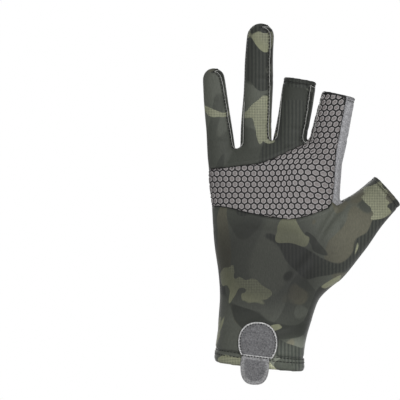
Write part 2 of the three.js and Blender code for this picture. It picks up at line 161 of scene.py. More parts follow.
def add_tube(skin, rings, sides, squareness):
    """Adds a closed tube through rings of x, z, lean, half width, front, back, lift."""
    tube = bmesh.new()
    bmesh.ops.create_circle(tube, cap_ends=True, segments=sides, radius=1)
    cap = list(tube.faces)
    for _ in rings[1:]:
        grown = bmesh.ops.extrude_face_region(tube, geom=cap)["geom"]
        cap = [g for g in grown if isinstance(g, bmesh.types.BMFace)]
        bmesh.ops.translate(tube, verts=cap[0].verts, vec=(0, 0, 1))
    for vert in tube.verts:
        x, z, lean, half, front, back, lift = rings[round(vert.co.z)]
        across = over_power(vert.co.x, squareness) * half
        through = over_power(vert.co.y, squareness)
        px = x + across * math.cos(lean)
        pz = z - across * math.sin(lean)
        pz += lift(px) if lift else 0
        vert.co = (px, through * (front if through < 0 else back) + curl_at(px, pz), pz)
    bmesh.ops.recalc_face_normals(tube, faces=tube.faces)
    mesh = bpy.data.meshes.new("tube")
    tube.to_mesh(mesh)
    tube.free()
    skin.from_mesh(mesh)
    bpy.data.meshes.remove(mesh)


def hand_rings(count=70):
    rings = []
    for up, to_hand, pinky, thumb, front, back in smooth_rows(HAND_ROWS, count):
        width = CUFF_WIDTH + (HAND_WIDTH - CUFF_WIDTH) * to_hand
        depth = CUFF_DEPTH + (HAND_DEPTH - CUFF_DEPTH) * to_hand
        share = min(max((up - 0.6) / 0.36, 0), 1)
        share = share * share * (3 - 2 * share)

        def lift(x, share=share):
            return KNUCKLE_RISE * share * (1 - ((x - 0.17 * HAND_WIDTH) / (0.5 * HAND_WIDTH)) ** 2)

        rings.append(((thumb - pinky) * width / 2, up * HAND_LENGTH, 0, (thumb + pinky) * width / 2,
                      front * depth, back * depth, lift))
    return rings


def finger_rings(finger, count=26):
    straight = finger["length"] - finger["end_width"] / 2 if finger["closed"] else finger["length"] + 6
    places = [(along, 1.0) for along in np.linspace(-ROOT_DEPTH, straight, count)]
    if finger["closed"]:
        for turn in np.radians([12, 25, 37, 48, 58, 67, 75, 82]):
            places.append((straight + finger["end_width"] / 2 * math.sin(turn), math.cos(turn)))
    rings = []
    for along, scale in places:
        x, z = axis_point(finger, along)
        half = width_at(finger, along) / 2
        swell = 1 + ROOT_SWELL * min(max(-along / ROOT_DEPTH, 0), 1)
        deep = half * finger["depth"] * swell * scale
        rings.append((x, z, math.radians(finger["lean"]), half * scale, deep, deep, None))
    return rings


def thumb_rings(count=34):
    rings = []
    for along, aside, width, depth in smooth_rows(THUMB_ROWS, count):
        x, z = axis_point(THUMB, along * THUMB["length"], aside * THUMB["end_width"])
        deep = depth * THUMB["depth"] / 2
        rings.append((x, z, math.radians(THUMB["lean"]), width * THUMB["end_width"] / 2, deep, deep, None))
    return rings


tubes = bmesh.new()
add_tube(tubes, hand_rings(), 72, 2.5)
add_tube(tubes, thumb_rings(), 48, 2.15)
for finger in FINGERS.values():
    add_tube(tubes, finger_rings(finger), 40, 2.15)
print("tubes:", len(tubes.verts), "points")

# %% [markdown]
# A voxel remesh joins the tubes into one skin, and a few smoothing passes round the crotches between them.


# %% One skin
def remeshed(source, voxel):
    mesh = bpy.data.meshes.new("tubes")
    source.to_mesh(mesh)
    holder = bpy.data.objects.new("tubes", mesh)
    bpy.context.scene.collection.objects.link(holder)
    remesh = holder.modifiers.new("Join", "REMESH")
    remesh.mode = "VOXEL"
    remesh.voxel_size = voxel
    joined = bpy.data.meshes.new_from_object(holder.evaluated_get(bpy.context.evaluated_depsgraph_get()))
    bpy.data.objects.remove(holder)
    bpy.data.meshes.remove(mesh)
    made = bmesh.new()
    made.from_mesh(joined)
    bpy.data.meshes.remove(joined)
    return made


def smooth(bm, verts, passes, factor=0.5):
    for _ in range(passes):
        bmesh.ops.smooth_vert(bm, verts=verts, factor=factor, use_axis_x=True, use_axis_y=True, use_axis_z=True)


def places(verts):
    return np.array([v.co for v in verts], float).reshape(-1, 3)


skin = remeshed(tubes, 0.9)
tubes.free()
smooth(skin, skin.verts, 6)
# places in the palm's view where the cloth bridges a hollow, with a reach and a number of passes
BRIDGES = [((41.9, 47.7), 17, 90), ((48.0, 112.0), 9, 12)]
for (bx, bz), reach, passes in BRIDGES:
    near = [v for v in skin.verts if math.hypot(v.co.x - bx, v.co.z - bz) < reach]
    smooth(skin, near, passes)
print("skin:", len(skin.faces), "faces")

# %% [markdown]
# ## Folds
# Creases of the worn cloth, each with its line in the palm's view, its depth and its width.

# %% Creases
CREASE_COLUMNS = ("side", "start", "end", "depth", "width")
CREASES = [dict(zip(CREASE_COLUMNS, row)) for row in [
    ("palm", (44, 96), (57, 112), 0.9, 3.2),
    ("palm", (40, 88), (50, 104), 0.5, 2.6),
    ("palm", (20, 60), (42, 84), 0.6, 4.0),
    ("palm", (-28, 26), (6, 34), 0.45, 3.0),
    ("palm", (4, 24), (32, 30), 0.5, 3.0),
    ("palm", (-30, 98), (30, 92), 0.5, 3.5),
    ("palm", (-36, 158), (-24, 156), 0.4, 2.0),
    ("palm", (-8, 168), (10, 168), 0.4, 2.0),
    ("palm", (15, 166), (34, 164), 0.4, 2.0),
    ("palm", (40, 160), (64, 158), 0.4, 2.2),
    ("palm", (-9, 200), (8, 200), 0.4, 2.0),
    ("palm", (-42, 184), (-28, 184), 0.35, 1.8),
    ("back", (36, 88), (56, 108), 1.0, 3.4),
    ("back", (34, 98), (50, 118), 0.6, 3.0),
    ("back", (-26, 24), (26, 30), 0.5, 3.4),
    ("back", (-24, 34), (20, 40), 0.35, 3.0),
    ("back", (-38, 168), (-24, 168), 0.4, 2.0),
    ("back", (-8, 186), (10, 186), 0.4, 2.0),
]]


def distance_to_line(x, z, start, end):
    ax, az = start
    dx, dz = end[0] - ax, end[1] - az
    t = np.clip(((x - ax) * dx + (z - az) * dz) / (dx * dx + dz * dz), 0, 1)
    return np.hypot(x - ax - t * dx, z - az - t * dz), t


def crease_depths(p, front):
    total = np.zeros(len(p))
    for row in CREASES:
        d, t = distance_to_line(p[:, 0], p[:, 2], row["start"], row["end"])
        share = d / row["width"]
        wave = (1 - share**2) * np.exp(-share**2 / 1.2) * np.sin(np.pi * np.clip(0.15 + 0.7 * t, 0, 1))
        on_side = front if row["side"] == "palm" else ~front
        total += row["depth"] * wave * on_side
    return total


def slack(p):
    """Slow swells that keep the cloth from looking turned on a lathe."""
    x, y, z = p.T
    waves = np.sin(x / 9.1 + z / 13.7) * np.sin(z / 17.3 - y / 8.9 + 1.1) + 0.6 * np.sin(x / 5.7 - z / 7.9 + y / 6.1)
    return 0.22 * waves


def press(bm, amounts):
    """Moves each point along its normal by an amount."""
    bm.normal_update()
    for vert, amount in zip(bm.verts, amounts):
        vert.co += vert.normal * amount


points = places(skin.verts)
in_front = points[:, 1] < curl_at(points[:, 0], points[:, 2])
press(skin, slack(points) - crease_depths(points, in_front))
full_skin = BVHTree.FromBMesh(skin)
print("deepest crease", round(float(crease_depths(points, in_front).max()), 2), "mm")

# %% [markdown]
# ## Cut ends
# The wrist, the index finger, the middle finger and the thumb are open.


# %% Openings
def along_across(finger, p):
    root = axis_point(finger, 0)
    lean = math.radians(finger["lean"])
    dx, dz = p[:, 0] - root[0], p[:, 2] - root[1]
    return dx * math.sin(lean) + dz * math.cos(lean), dx * math.cos(lean) - dz * math.sin(lean)


def cut_end(bm, finger):
    centres = np.array([f.calc_center_median() for f in bm.faces])
    along, across = along_across(finger, centres)
    near = (along > finger["length"] - 6) & (np.abs(across) < finger["end_width"] / 2 + 2)
    faces = [f for f, ok in zip(bm.faces, near) if ok]
    edges = {e for f in faces for e in f.edges}
    verts = {v for f in faces for v in f.verts}
    end = axis_point(finger, finger["length"])
    lean = math.radians(finger["lean"])
    bmesh.ops.bisect_plane(bm, geom=[*verts, *edges, *faces], dist=0.01, plane_co=(end[0], 0, end[1]),
                           plane_no=(math.sin(lean), 0, math.cos(lean)), clear_outer=True)


WRIST_UP = Vector((math.sin(HEM_SLOPE), 0, math.cos(HEM_SLOPE)))
OPEN_ENDS = {"middle": FINGERS["middle"], "index": FINGERS["index"], "thumb": THUMB}
for finger in OPEN_ENDS.values():
    cut_end(skin, finger)
bmesh.ops.bisect_plane(skin, geom=[*skin.verts, *skin.edges, *skin.faces], dist=0.01, plane_co=(0, 0, 0),
                       plane_no=WRIST_UP, clear_inner=True)
print("open edges:", sum(e.is_boundary for e in skin.edges))

# %% [markdown]
# ## Panels
# Each panel is a region with a field that is negative inside it.
# The skin is cut where a field is zero, so that neighbouring panels meet on one clean seam line.


# %% Regions of the panels
def outline_field(outline):
    a = np.array(outline, float)
    b = np.roll(a, -1, axis=0)

    def field(p):
        x, z = p[:, 0], p[:, 2]
        nearest = np.full(len(p), 1e9)
        inside = np.zeros(len(p), bool)
        for (ax, az), (bx, bz) in zip(a, b):
            nearest = np.minimum(nearest, distance_to_line(x, z, (ax, az), (bx, bz))[0])
            crosses = (az > z) != (bz > z)
            inside ^= crosses & (x < (bx - ax) * (z - az) / (bz - az + 1e-12) + ax)
        return np.where(inside, -nearest, nearest)

    return field


def depth_of(p):
    return p[:, 1] - curl_at(p[:, 0], p[:, 2])


def between(low, high):
    return lambda p: np.maximum(low - depth_of(p), depth_of(p) - high)


def both(*fields):
    return lambda p: np.maximum.reduce([f(p) for f in fields])


def either(*fields):
    return lambda p: np.minimum.reduce([f(p) for f in fields])


def hem_field(p):
    return p[:, 0] * WRIST_UP.x + p[:, 2] * WRIST_UP.z - HEM_HEIGHT


def opening_field(finger):
    def field(p):
        along, across = along_across(finger, p)
        return np.maximum(finger["length"] - OPENING_HEM - along, np.abs(across) - finger["end_width"] / 2 - 2)
    return field


def gusset_half(finger, gap_at, low, high):
    top = finger["length"] - TIP_MARGIN if finger["closed"] else finger["length"] + 12
    outline = [
        axis_point(finger, -GUSSET_DROP),
        axis_point(finger, top),
        gap_at(top),
        gap_at(-GUSSET_DROP),
    ]
    return both(outline_field(outline), between(low, high))


def gusset_field(left, right):
    low = (axis_point(left, 0, left["root_width"] / 2) + axis_point(right, 0, -right["root_width"] / 2)) / 2
    shorter = min(left["length"], right["length"])
    high = (axis_point(left, shorter, width_at(left, shorter) / 2)
            + axis_point(right, shorter, -width_at(right, shorter) / 2)) / 2

    def gap_at(shift):
        return lambda along: low + (high - low) * along / shorter + np.array([shift, 0])

    front = left["front_seam"] * left["end_width"] / 2 * left["depth"]
    back = right["back_seam"] * right["end_width"] / 2 * right["depth"]
    return either(gusset_half(left, gap_at(0.8), -front, FAR_SIDE),
                  gusset_half(right, gap_at(-0.8), -FAR_SIDE, back))


def thumb_side_at(up):
    rows = [(r[0] * HAND_LENGTH, r[3] * (CUFF_WIDTH + (HAND_WIDTH - CUFF_WIDTH) * r[1])) for r in HAND_ROWS]
    return float(np.interp(up, [r[0] for r in rows], [r[1] for r in rows]))


CROTCH_UP = 0.762 * HAND_LENGTH
CROTCH = np.array([thumb_side_at(CROTCH_UP), CROTCH_UP])
BISECTOR = np.array([0.45, 0.89])
THUMB_GUSSET = [
    axis_point(THUMB, 0.42 * THUMB["length"], 0.1 * THUMB["end_width"]),
    axis_point(THUMB, THUMB["length"] + 6),
    axis_point(THUMB, THUMB["length"] + 6, -THUMB["end_width"]),
    CROTCH + BISECTOR * 0.4 * THUMB["length"],
    CROTCH + BISECTOR,
    CROTCH + np.array([-0.3, -0.1]) * THUMB["end_width"],
]

index = FINGERS["index"]
SIDE_SEAM = [
    axis_point(index, index["length"] + 18, index["end_width"] / 2 - 1.5 * SIDE_STRIP),
    axis_point(index, 0, index["root_width"] / 2 - 1.25 * SIDE_STRIP),
    *[np.array([thumb_side_at(s * HAND_LENGTH) - SIDE_STRIP, s * HAND_LENGTH]) for s in (0.93, 0.87, 0.81, 0.762)],
]
SIDE_PANEL = [
    *SIDE_SEAM,
    CROTCH + np.array([-0.35, -0.5]) * SIDE_STRIP,
    CROTCH + np.array([0.4, 0]) * SIDE_STRIP,
    CROTCH + np.array([4 * SIDE_STRIP, 0.4 * HAND_LENGTH]),
    axis_point(index, index["length"] + 18, 2 * index["end_width"]),
]

GRIP_TOP = [(-0.60, 0.912), (-0.361, 0.916), (-0.160, 0.930), (0.011, 0.944), (0.145, 0.977), (0.262, 1.012),
            (0.361, 1.042)]
GRIP_BOTTOM = [(-0.60, 0.742), (-0.354, 0.743), (-0.227, 0.734), (-0.086, 0.711), (0.034, 0.697), (0.220, 0.683),
               (0.361, 0.701), (0.510, 0.734)]


def hand_line(rows, count):
    return [np.array([r[0] * HAND_WIDTH, r[1] * HAND_LENGTH]) for r in smooth_rows(rows, count)]


middle = FINGERS["middle"]
GRIP = [
    *hand_line(GRIP_TOP, 25),
    (axis_point(middle, middle["length"] + 18, middle["end_width"] / 2)
     + axis_point(index, index["length"] + 18, -index["end_width"] / 2)) / 2,
    *SIDE_SEAM,
    *reversed(hand_line(GRIP_BOTTOM, 29)),
]
palm_side, back_side = between(-300, 0), between(0, 300)
above_grip = outline_field([(-120, 126), (47, 126), (47, 400), (-120, 400)])

PANELS = [
    ("cuff_hem", hem_field),
    ("middle_opening_hem", opening_field(middle)),
    ("index_opening_hem", opening_field(index)),
    ("thumb_opening_hem", opening_field(THUMB)),
    ("pinky_ring_gusset", gusset_field(FINGERS["pinky"], FINGERS["ring"])),
    ("ring_middle_gusset", gusset_field(FINGERS["ring"], middle)),
    ("middle_index_gusset", gusset_field(middle, index)),
    ("thumb_gusset", both(outline_field(THUMB_GUSSET), between(-1.5, 7))),
    ("index_side_panel", both(outline_field(SIDE_PANEL), palm_side)),
    ("grip_patch", both(outline_field(GRIP), palm_side)),
    ("finger_front_panel", both(above_grip, palm_side)),
    ("palm_panel", palm_side),
    ("back_panel", back_side),
]
LABEL = {name: i + 1 for i, (name, _) in enumerate(PANELS)}


def split_along(bm, field, free):
    """Cuts the free faces where the field changes sign, and moves points that lie close onto the line."""
    verts = list(bm.verts)
    values = field(places(verts))
    bm.verts.index_update()
    edges = [e for e in bm.edges if any(free(f) for f in e.link_faces)]
    for e in edges:
        a, b = e.verts
        fa, fb = values[a.index], values[b.index]
        if fa * fb < 0:
            t = fa / (fa - fb)
            if t < 0.2 or t > 0.8:
                end = a if t < 0.2 else b
                end.co = a.co.lerp(b.co, t)
                values[end.index] = 0
    on_line = [v for v in verts if values[v.index] == 0]
    crossing = [(e, *e.verts) for e in edges if values[e.verts[0].index] * values[e.verts[1].index] < 0]
    for e, a, b in crossing:
        fa, fb = values[a.index], values[b.index]
        on_line.append(bmesh.utils.edge_split(e, a, fa / (fa - fb))[1])
    bmesh.ops.connect_verts(bm, verts=on_line)


def unclaimed(face):
    return face.material_index == 0


for name, field in PANELS:
    split_along(skin, field, unclaimed)
    free = [f for f in skin.faces if unclaimed(f)]
    inside = field(np.array([f.calc_center_median() for f in free])) < 0
    for face, ok in zip(free, inside):
        if ok:
            face.material_index = LABEL[name]
    print(name, int(inside.sum()), "faces")
print("left over:", sum(unclaimed(f) for f in skin.faces))

# %% [markdown]
# ## Seams
# The cloth dips where two panels are sewn together and swells a little beside the seam.
# The distance to the nearest seam is kept as an attribute, which the materials use for painted shade along the seams.


# %% Seam lines
def chains(edges):
    """Edges in running order: a list of point rows, each with whether it is closed."""
    beside = {}
    for edge in edges:
        a, b = edge.verts
        beside.setdefault(a, []).append(b)
        beside.setdefault(b, []).append(a)
    left, found = set(beside), []
    starts = [v for v in beside if len(beside[v]) != 2]
    for first in [*starts, *beside]:
        if first not in left:
            continue
        row = [first]
        left.discard(first)
        while True:
            ahead = [v for v in beside[row[-1]] if v in left]
            if not ahead:
                break
            row.append(ahead[0])
            left.discard(ahead[0])
        closed = len(row) > 3 and row[0] in beside[row[-1]]
        if len(row) > 3:
            found.append((np.array([v.co for v in row], float), closed))
    return found


seam_edges = {}
for edge in skin.edges:
    labels = sorted({f.material_index for f in edge.link_faces})
    if len(labels) == 2:
        seam_edges.setdefault(tuple(labels), []).append(edge)
    elif edge.is_boundary:
        seam_edges.setdefault((0, labels[0]), []).append(edge)
SEAMS = {pair: chains(edges) for pair, edges in seam_edges.items()}
seam_verts = {v for edges in seam_edges.values() for e in edges for v in e.verts}
seam_tree = KDTree(len(seam_verts))
for i, vert in enumerate(seam_verts):
    seam_tree.insert(vert.co, i)
seam_tree.balance()
from_seam = np.array([seam_tree.find(v.co)[2] for v in skin.verts])
dips = -0.42 * np.exp(-((from_seam / 0.9) ** 2)) + 0.24 * np.exp(-(((from_seam - 2.5) / 1.3) ** 2))
HEM_STITCHES = (5.4, 8.3)
heights = hem_field(places(skin.verts)) + HEM_HEIGHT
in_hem = heights < HEM_HEIGHT
for level in HEM_STITCHES:
    dips -= 0.26 * np.exp(-(((heights - level) / 0.7) ** 2)) * in_hem
dips += 0.3 * in_hem * np.sin(np.pi * np.clip(heights / HEM_HEIGHT, 0, 1))
press(skin, dips)
seam_layer = skin.verts.layers.float.new("seam")
for vert, distance in zip(skin.verts, from_seam):
    vert[seam_layer] = min(distance, 8.0) / 8.0
skin.normal_update()
skin.faces.ensure_lookup_table()
cloth_tree = BVHTree.FromBMesh(skin)
print("seams:", {pair: len(rows) for pair, rows in SEAMS.items()})

# %% [markdown]
# ## Materials
# Colours are given as the eye reads them and turned into linear light.
# Shared effects are node groups that put out colours, masks and heights only.


# %% Node helpers
def lin(text):
    parts = [int(text[i:i + 2], 16) / 255 for i in (1, 3, 5)]
    return (*[c / 12.92 if c <= 0.04045 else ((c + 0.055) / 1.055) ** 2.4 for c in parts], 1.0)


def node(tree, kind, inputs=None, **settings):
    made = tree.nodes.new(kind)
    for name, value in settings.items():
        setattr(made, name, value)
    for name, value in (inputs or {}).items():
        if isinstance(value, bpy.types.NodeSocket):
            tree.links.new(value, made.inputs[name])
        else:
            made.inputs[name].default_value = value
    return made


def new_group(name, **outputs):
    tree = bpy.data.node_groups.new(name, "ShaderNodeTree")
    for label, kind in outputs.items():
        tree.interface.new_socket(name=label, in_out="OUTPUT", socket_type="NodeSocket" + kind)
    return tree, tree.nodes.new("NodeGroupOutput")


def put_out(tree, out, **values):
    for label, socket in values.items():
        tree.links.new(socket, out.inputs[label])


def maths(tree, operation, a, b=0.0, c=0.0):
    return node(tree, "ShaderNodeMath", {0: a, 1: b, 2: c}, operation=operation).outputs[0]


def step_at(tree, value, level, soft):
    """0 below a level and 1 above it, over a soft edge."""
    ramp = node(tree, "ShaderNodeMapRange", {"Value": value, "From Min": level - soft, "From Max": level + soft},
                interpolation_type="SMOOTHSTEP")
    return ramp.outputs[0]


def mixed(tree, share, a, b, how="MIX"):
    mix = node(tree, "ShaderNodeMix", data_type="RGBA", blend_type=how)
    for slot, value in ((0, share), (6, a), (7, b)):
        if isinstance(value, bpy.types.NodeSocket):
            tree.links.new(value, mix.inputs[slot])
        else:
            mix.inputs[slot].default_value = value
    return mix.outputs[2]


def noise(tree, where, scale, detail=2.0, rough=0.5, distortion=0.0):
    made = node(tree, "ShaderNodeTexNoise", {"Vector": where, "Scale": scale, "Detail": detail, "Roughness": rough,
                                             "Distortion": distortion})
    return made.outputs["Fac"] if "Fac" in made.outputs else made.outputs[0]


def object_place(tree, stretch=(1, 1, 1), shift=(0, 0, 0)):
    where = node(tree, "ShaderNodeTexCoord").outputs["Object"]
    return node(tree, "ShaderNodeMapping", {"Vector": where, "Location": shift, "Scale": stretch}).outputs[0]


# %% Print with painted shade and light, knit, felt and painted seam shade groups
def make_print_and_light():
    """A generic printed camouflage: soft-edged pebble patches, dotted patches and striped patches, with painted shade
    in the palm's hollow and painted light on the thumb's ball, the cuff and the back.
    """
    tree, out = new_group("camouflage_print_and_painted_light", Colour="Color", Patch="Float")
    colour = lin("#51544c")
    layers = [
        ("#5e6157", 15, 0.52, 0.8, (0.3, 0.1, 0.7), 0.03),
        ("#41443d", 18, 0.52, 1.0, (1.9, 0.4, 0.2), 0.01),
        ("#575649", 26, 0.6, 1.2, (0.6, 2.7, 1.1), 0.012),
        ("#32352f", 22, 0.57, 1.3, (2.2, 1.5, 3.3), 0.008),
    ]
    for paint, scale, level, distortion, shift, soft in layers:
        patch = noise(tree, object_place(tree, (1, 1, 0.8), shift), scale, 1.2, 0.45, distortion)
        colour = mixed(tree, step_at(tree, patch, level, soft), colour, lin(paint))
    spot = node(tree, "ShaderNodeSeparateXYZ", {0: object_place(tree)})
    x, y, z = spot.outputs
    # striped dark patches
    dark = noise(tree, object_place(tree, (1, 1, 1.5), (0.7, 3.4, 2.3)), 15, 1.0, 0.4, 0.8)
    bend = noise(tree, object_place(tree), 24, 1.0)
    run = maths(tree, "ADD", maths(tree, "MULTIPLY", x, 2500), maths(tree, "MULTIPLY", bend, 5))
    stripes = step_at(tree, maths(tree, "SINE", run), 0.0, 0.7)
    striped = mixed(tree, stripes, lin("#393c36"), lin("#292c28"))
    colour = mixed(tree, step_at(tree, dark, 0.56, 0.006), colour, striped)
    # dotted pale patches
    pale = noise(tree, object_place(tree, (1, 1, 1.1), (4.1, 0.2, 0.9)), 20, 1.6, 0.5, 1.5)
    first = maths(tree, "SINE", maths(tree, "MULTIPLY", maths(tree, "ADD", x, z), 2850))
    second = maths(tree, "SINE", maths(tree, "MULTIPLY", maths(tree, "SUBTRACT", x, z), 2850))
    dots = step_at(tree, maths(tree, "MULTIPLY", first, second), 0.1, 0.3)
    dotted = mixed(tree, dots, lin("#94967f"), lin("#5f614f"))
    solid = noise(tree, object_place(tree, shift=(1.1, 6.2, 0.4)), 22, 1.0)
    dotted = mixed(tree, step_at(tree, solid, 0.5, 0.05), dotted, lin("#87896f"))
    colour = mixed(tree, step_at(tree, pale, 0.6, 0.006), colour, dotted)
    # the dye takes unevenly
    fade = noise(tree, object_place(tree, shift=(5, 5, 5)), 14, 2.0)
    fade = node(tree, "ShaderNodeMapRange", {"Value": fade, "From Min": 0.3, "From Max": 0.7, "To Min": 0.84,
                                             "To Max": 1.18}).outputs[0]
    colour = mixed(tree, 1.0, colour, node(tree, "ShaderNodeCombineColor", {0: fade, 1: fade, 2: fade}).outputs[0],
                   "MULTIPLY")
    # painted shade darkens the print in the hollow of the palm, and painted light makes it lighter on the thumb's ball,
    # the front of the cuff and the middle of the back
    for (cx, cy, cz), (rx, ry, rz), share in (((0.004, -0.018, 0.074), (0.05, 0.03, 0.04), -0.66),
                                              ((0.058, -0.012, 0.09), (0.03, 0.03, 0.034), 0.25),
                                              ((0.03, -0.02, 0.006), (0.03, 0.03, 0.016), 1.9),
                                              ((0.0, 0.025, 0.08), (0.07, 0.035, 0.09), 0.4)):
        parts = [maths(tree, "DIVIDE", maths(tree, "SUBTRACT", axis, c), r)
                 for axis, c, r in ((x, cx, rx), (y, cy, ry), (z, cz, rz))]
        reach = node(tree, "ShaderNodeVectorMath",
                     {0: node(tree, "ShaderNodeCombineXYZ", dict(enumerate(parts))).outputs[0]},
                     operation="LENGTH").outputs["Value"]
        near = node(tree, "ShaderNodeMapRange", {"Value": reach, "From Min": 0.5, "From Max": 1.2, "To Min": 1 + share,
                                                 "To Max": 1.0}, interpolation_type="SMOOTHSTEP").outputs[0]
        colour = mixed(tree, 1.0, colour, node(tree, "ShaderNodeCombineColor", {0: near, 1: near, 2: near}).outputs[0],
                       "MULTIPLY")
    put_out(tree, out, Colour=colour, Patch=pale)
    return tree


def make_knit():
    """Fine vertical ribs of stretch jersey, with a faint heather."""
    tree, out = new_group("knit", Height="Float", Tone="Float")
    ribs = noise(tree, object_place(tree, (1, 1, 0.3)), 1500, 2.0, 0.6)
    loops = noise(tree, object_place(tree), 2600, 1.0)
    height = maths(tree, "ADD", maths(tree, "MULTIPLY", ribs, 0.7), maths(tree, "MULTIPLY", loops, 0.3))
    tone = node(tree, "ShaderNodeMapRange", {"Value": ribs, "From Min": 0.3, "From Max": 0.7, "To Min": 0.84,
                                             "To Max": 1.12})
    put_out(tree, out, Height=height, Tone=tone.outputs[0])
    return tree


def make_felt():
    """Matted fibres in two greys."""
    tree, out = new_group("felt", Height="Float", Tone="Float")
    fibres = noise(tree, object_place(tree, (1, 1, 0.6)), 1900, 4.0, 0.7, 1.2)
    tufts = noise(tree, object_place(tree), 900, 3.0, 0.6, 0.8)
    tone = maths(tree, "ADD", maths(tree, "MULTIPLY", fibres, 0.8), maths(tree, "MULTIPLY", tufts, 0.8))
    tone = node(tree, "ShaderNodeMapRange", {"Value": tone, "From Min": 0.65, "From Max": 0.95, "To Min": 0.5,
                                             "To Max": 1.5})
    put_out(tree, out, Height=fibres, Tone=tone.outputs[0])
    return tree


def make_seam_shade():
    """A mask of painted shade in the seams' grooves: 1 on a seam and 0 away from it, from the kept distance, broken up
    by the cloth's grain.
    """
    tree, out = new_group("seam_painted_shade", Near="Float")
    distance = node(tree, "ShaderNodeAttribute", attribute_name="seam").outputs["Fac"]
    grain = noise(tree, object_place(tree), 260, 2.0)
    reach = maths(tree, "ADD", distance, maths(tree, "MULTIPLY", maths(tree, "SUBTRACT", grain, 0.5), 0.08))
    near = node(tree, "ShaderNodeMapRange", {"Value": reach, "From Min": 0.02, "From Max": 0.22, "To Min": 1.0,
                                             "To Max": 0.0}, interpolation_type="SMOOTHSTEP")
    put_out(tree, out, Near=near.outputs[0])
    return tree


PRINT_AND_LIGHT, KNIT, FELT, SEAM_SHADE = make_print_and_light(), make_knit(), make_felt(), make_seam_shade()


def use(tree, group):
    return node(tree, "ShaderNodeGroup", node_tree=group).outputs


def greys(tree, tone):
    return node(tree, "ShaderNodeCombineColor", {0: tone, 1: tone, 2: tone}).outputs[0]


def new_material(name, colour_of, height_of, roughness, bump=0.4, depth=0.0003, sheen=0.0, specular=0.5):
    """A material from functions that give its colour and its height in its own node tree."""
    material = bpy.data.materials.new(name)
    material.use_nodes = True
    tree = material.node_tree
    shader = tree.nodes["Principled BSDF"]
    tree.links.new(colour_of(tree), shader.inputs["Base Color"])
    shader.inputs["Roughness"].default_value = roughness
    shader.inputs["Specular IOR Level"].default_value = specular
    shader.inputs["Sheen Weight"].default_value = sheen
    shader.inputs["Sheen Roughness"].default_value = 0.45
    raised = node(tree, "ShaderNodeBump", {"Height": height_of(tree), "Strength": bump, "Distance": depth})
    tree.links.new(raised.outputs[0], shader.inputs["Normal"])
    return material


def knit_colour(level, dim):
    """The print on the knit, with its painted shade and light, as light as level, and darker by dim towards the seams
    as painted shade.
    """
    def colour(tree):
        printed_and_lit, knit, seam_shading = use(tree, PRINT_AND_LIGHT), use(tree, KNIT), use(tree, SEAM_SHADE)
        tone = maths(tree, "MULTIPLY", knit["Tone"], level)
        # painted shade: the colour is darker by dim along the seams
        shade = maths(tree, "SUBTRACT", 1.0, maths(tree, "MULTIPLY", seam_shading["Near"], dim))
        return mixed(tree, 1.0, printed_and_lit["Colour"], greys(tree, maths(tree, "MULTIPLY", tone, shade)), "MULTIPLY")
    return colour


def plain_colour(paint, group, dim=0.3):
    def colour(tree):
        tone = use(tree, group)["Tone"]
        # painted shade: the colour is darker by dim along the seams
        shade = maths(tree, "SUBTRACT", 1.0, maths(tree, "MULTIPLY", use(tree, SEAM_SHADE)["Near"], dim))
        return mixed(tree, 1.0, lin(paint), greys(tree, maths(tree, "MULTIPLY", tone, shade)), "MULTIPLY")
    return colour


def felt_colour(tree):
    """Grey felt with a paler rim."""
    rim = node(tree, "ShaderNodeAttribute", attribute_name="rim").outputs["Fac"]
    paint = mixed(tree, rim, lin("#6f6f71"), lin("#cacaca"))
    return mixed(tree, 1.0, paint, greys(tree, use(tree, FELT)["Tone"]), "MULTIPLY")


def height_from(group):
    return lambda tree: use(tree, group)["Height"]


def cell_colour(tree):
    """Grip cells with painted light: painted shade on the darker wall, a painted highlight on the pale ring, and
    painted shade in the warmer, darker middle.
    """
    ring = node(tree, "ShaderNodeAttribute", attribute_name="ring").outputs["Fac"]
    ramp = node(tree, "ShaderNodeValToRGB", {"Fac": ring})
    # painted light along the ring: shaded wall, highlighted ring, shaded middle
    painted_light_marks = [(0.0, "#2e2c2c"), (0.2, "#8f8b8b"), (0.5, "#aeaaaa"), (0.8, "#8f8b8a"), (1.0, "#7f7978")]
    while len(ramp.color_ramp.elements) < len(painted_light_marks):
        ramp.color_ramp.elements.new(0.5)
    for element, (at, paint) in zip(ramp.color_ramp.elements, painted_light_marks):
        element.position, element.color = at, lin(paint)
    mottle = noise(tree, object_place(tree), 700, 3.0, 0.6)
    mottle = node(tree, "ShaderNodeMapRange", {"Value": mottle, "From Min": 0.3, "From Max": 0.7, "To Min": 0.9,
                                               "To Max": 1.08}).outputs[0]
    return mixed(tree, 1.0, ramp.outputs["Color"], greys(tree, mottle), "MULTIPLY")


def film_height(tree):
    return noise(tree, object_place(tree), 1900, 3.0, 0.6)


def mesh_height(tree):
    """The open net between the grip cells."""
    spot = node(tree, "ShaderNodeSeparateXYZ", {0: object_place(tree)}).outputs
    across = maths(tree, "SINE", maths(tree, "MULTIPLY", spot[0], 7000))
    up = maths(tree, "SINE", maths(tree, "MULTIPLY", spot[2], 7000))
    return maths(tree, "MULTIPLY", across, up)


def mesh_colour(tree):
    holes = step_at(tree, mesh_height(tree), 0.1, 0.4)
    return mixed(tree, holes, lin("#0c0c0d"), lin("#1c1c1d"))


def twist_colour(paint):
    def colour(tree):
        strands = noise(tree, object_place(tree), 2400, 2.0)
        return mixed(tree, step_at(tree, strands, 0.5, 0.2), lin(paint), tuple(c * 0.55 for c in lin(paint)[:3]) + (1,))
    return colour


def twist_height(tree):
    return noise(tree, object_place(tree), 2400, 2.0)


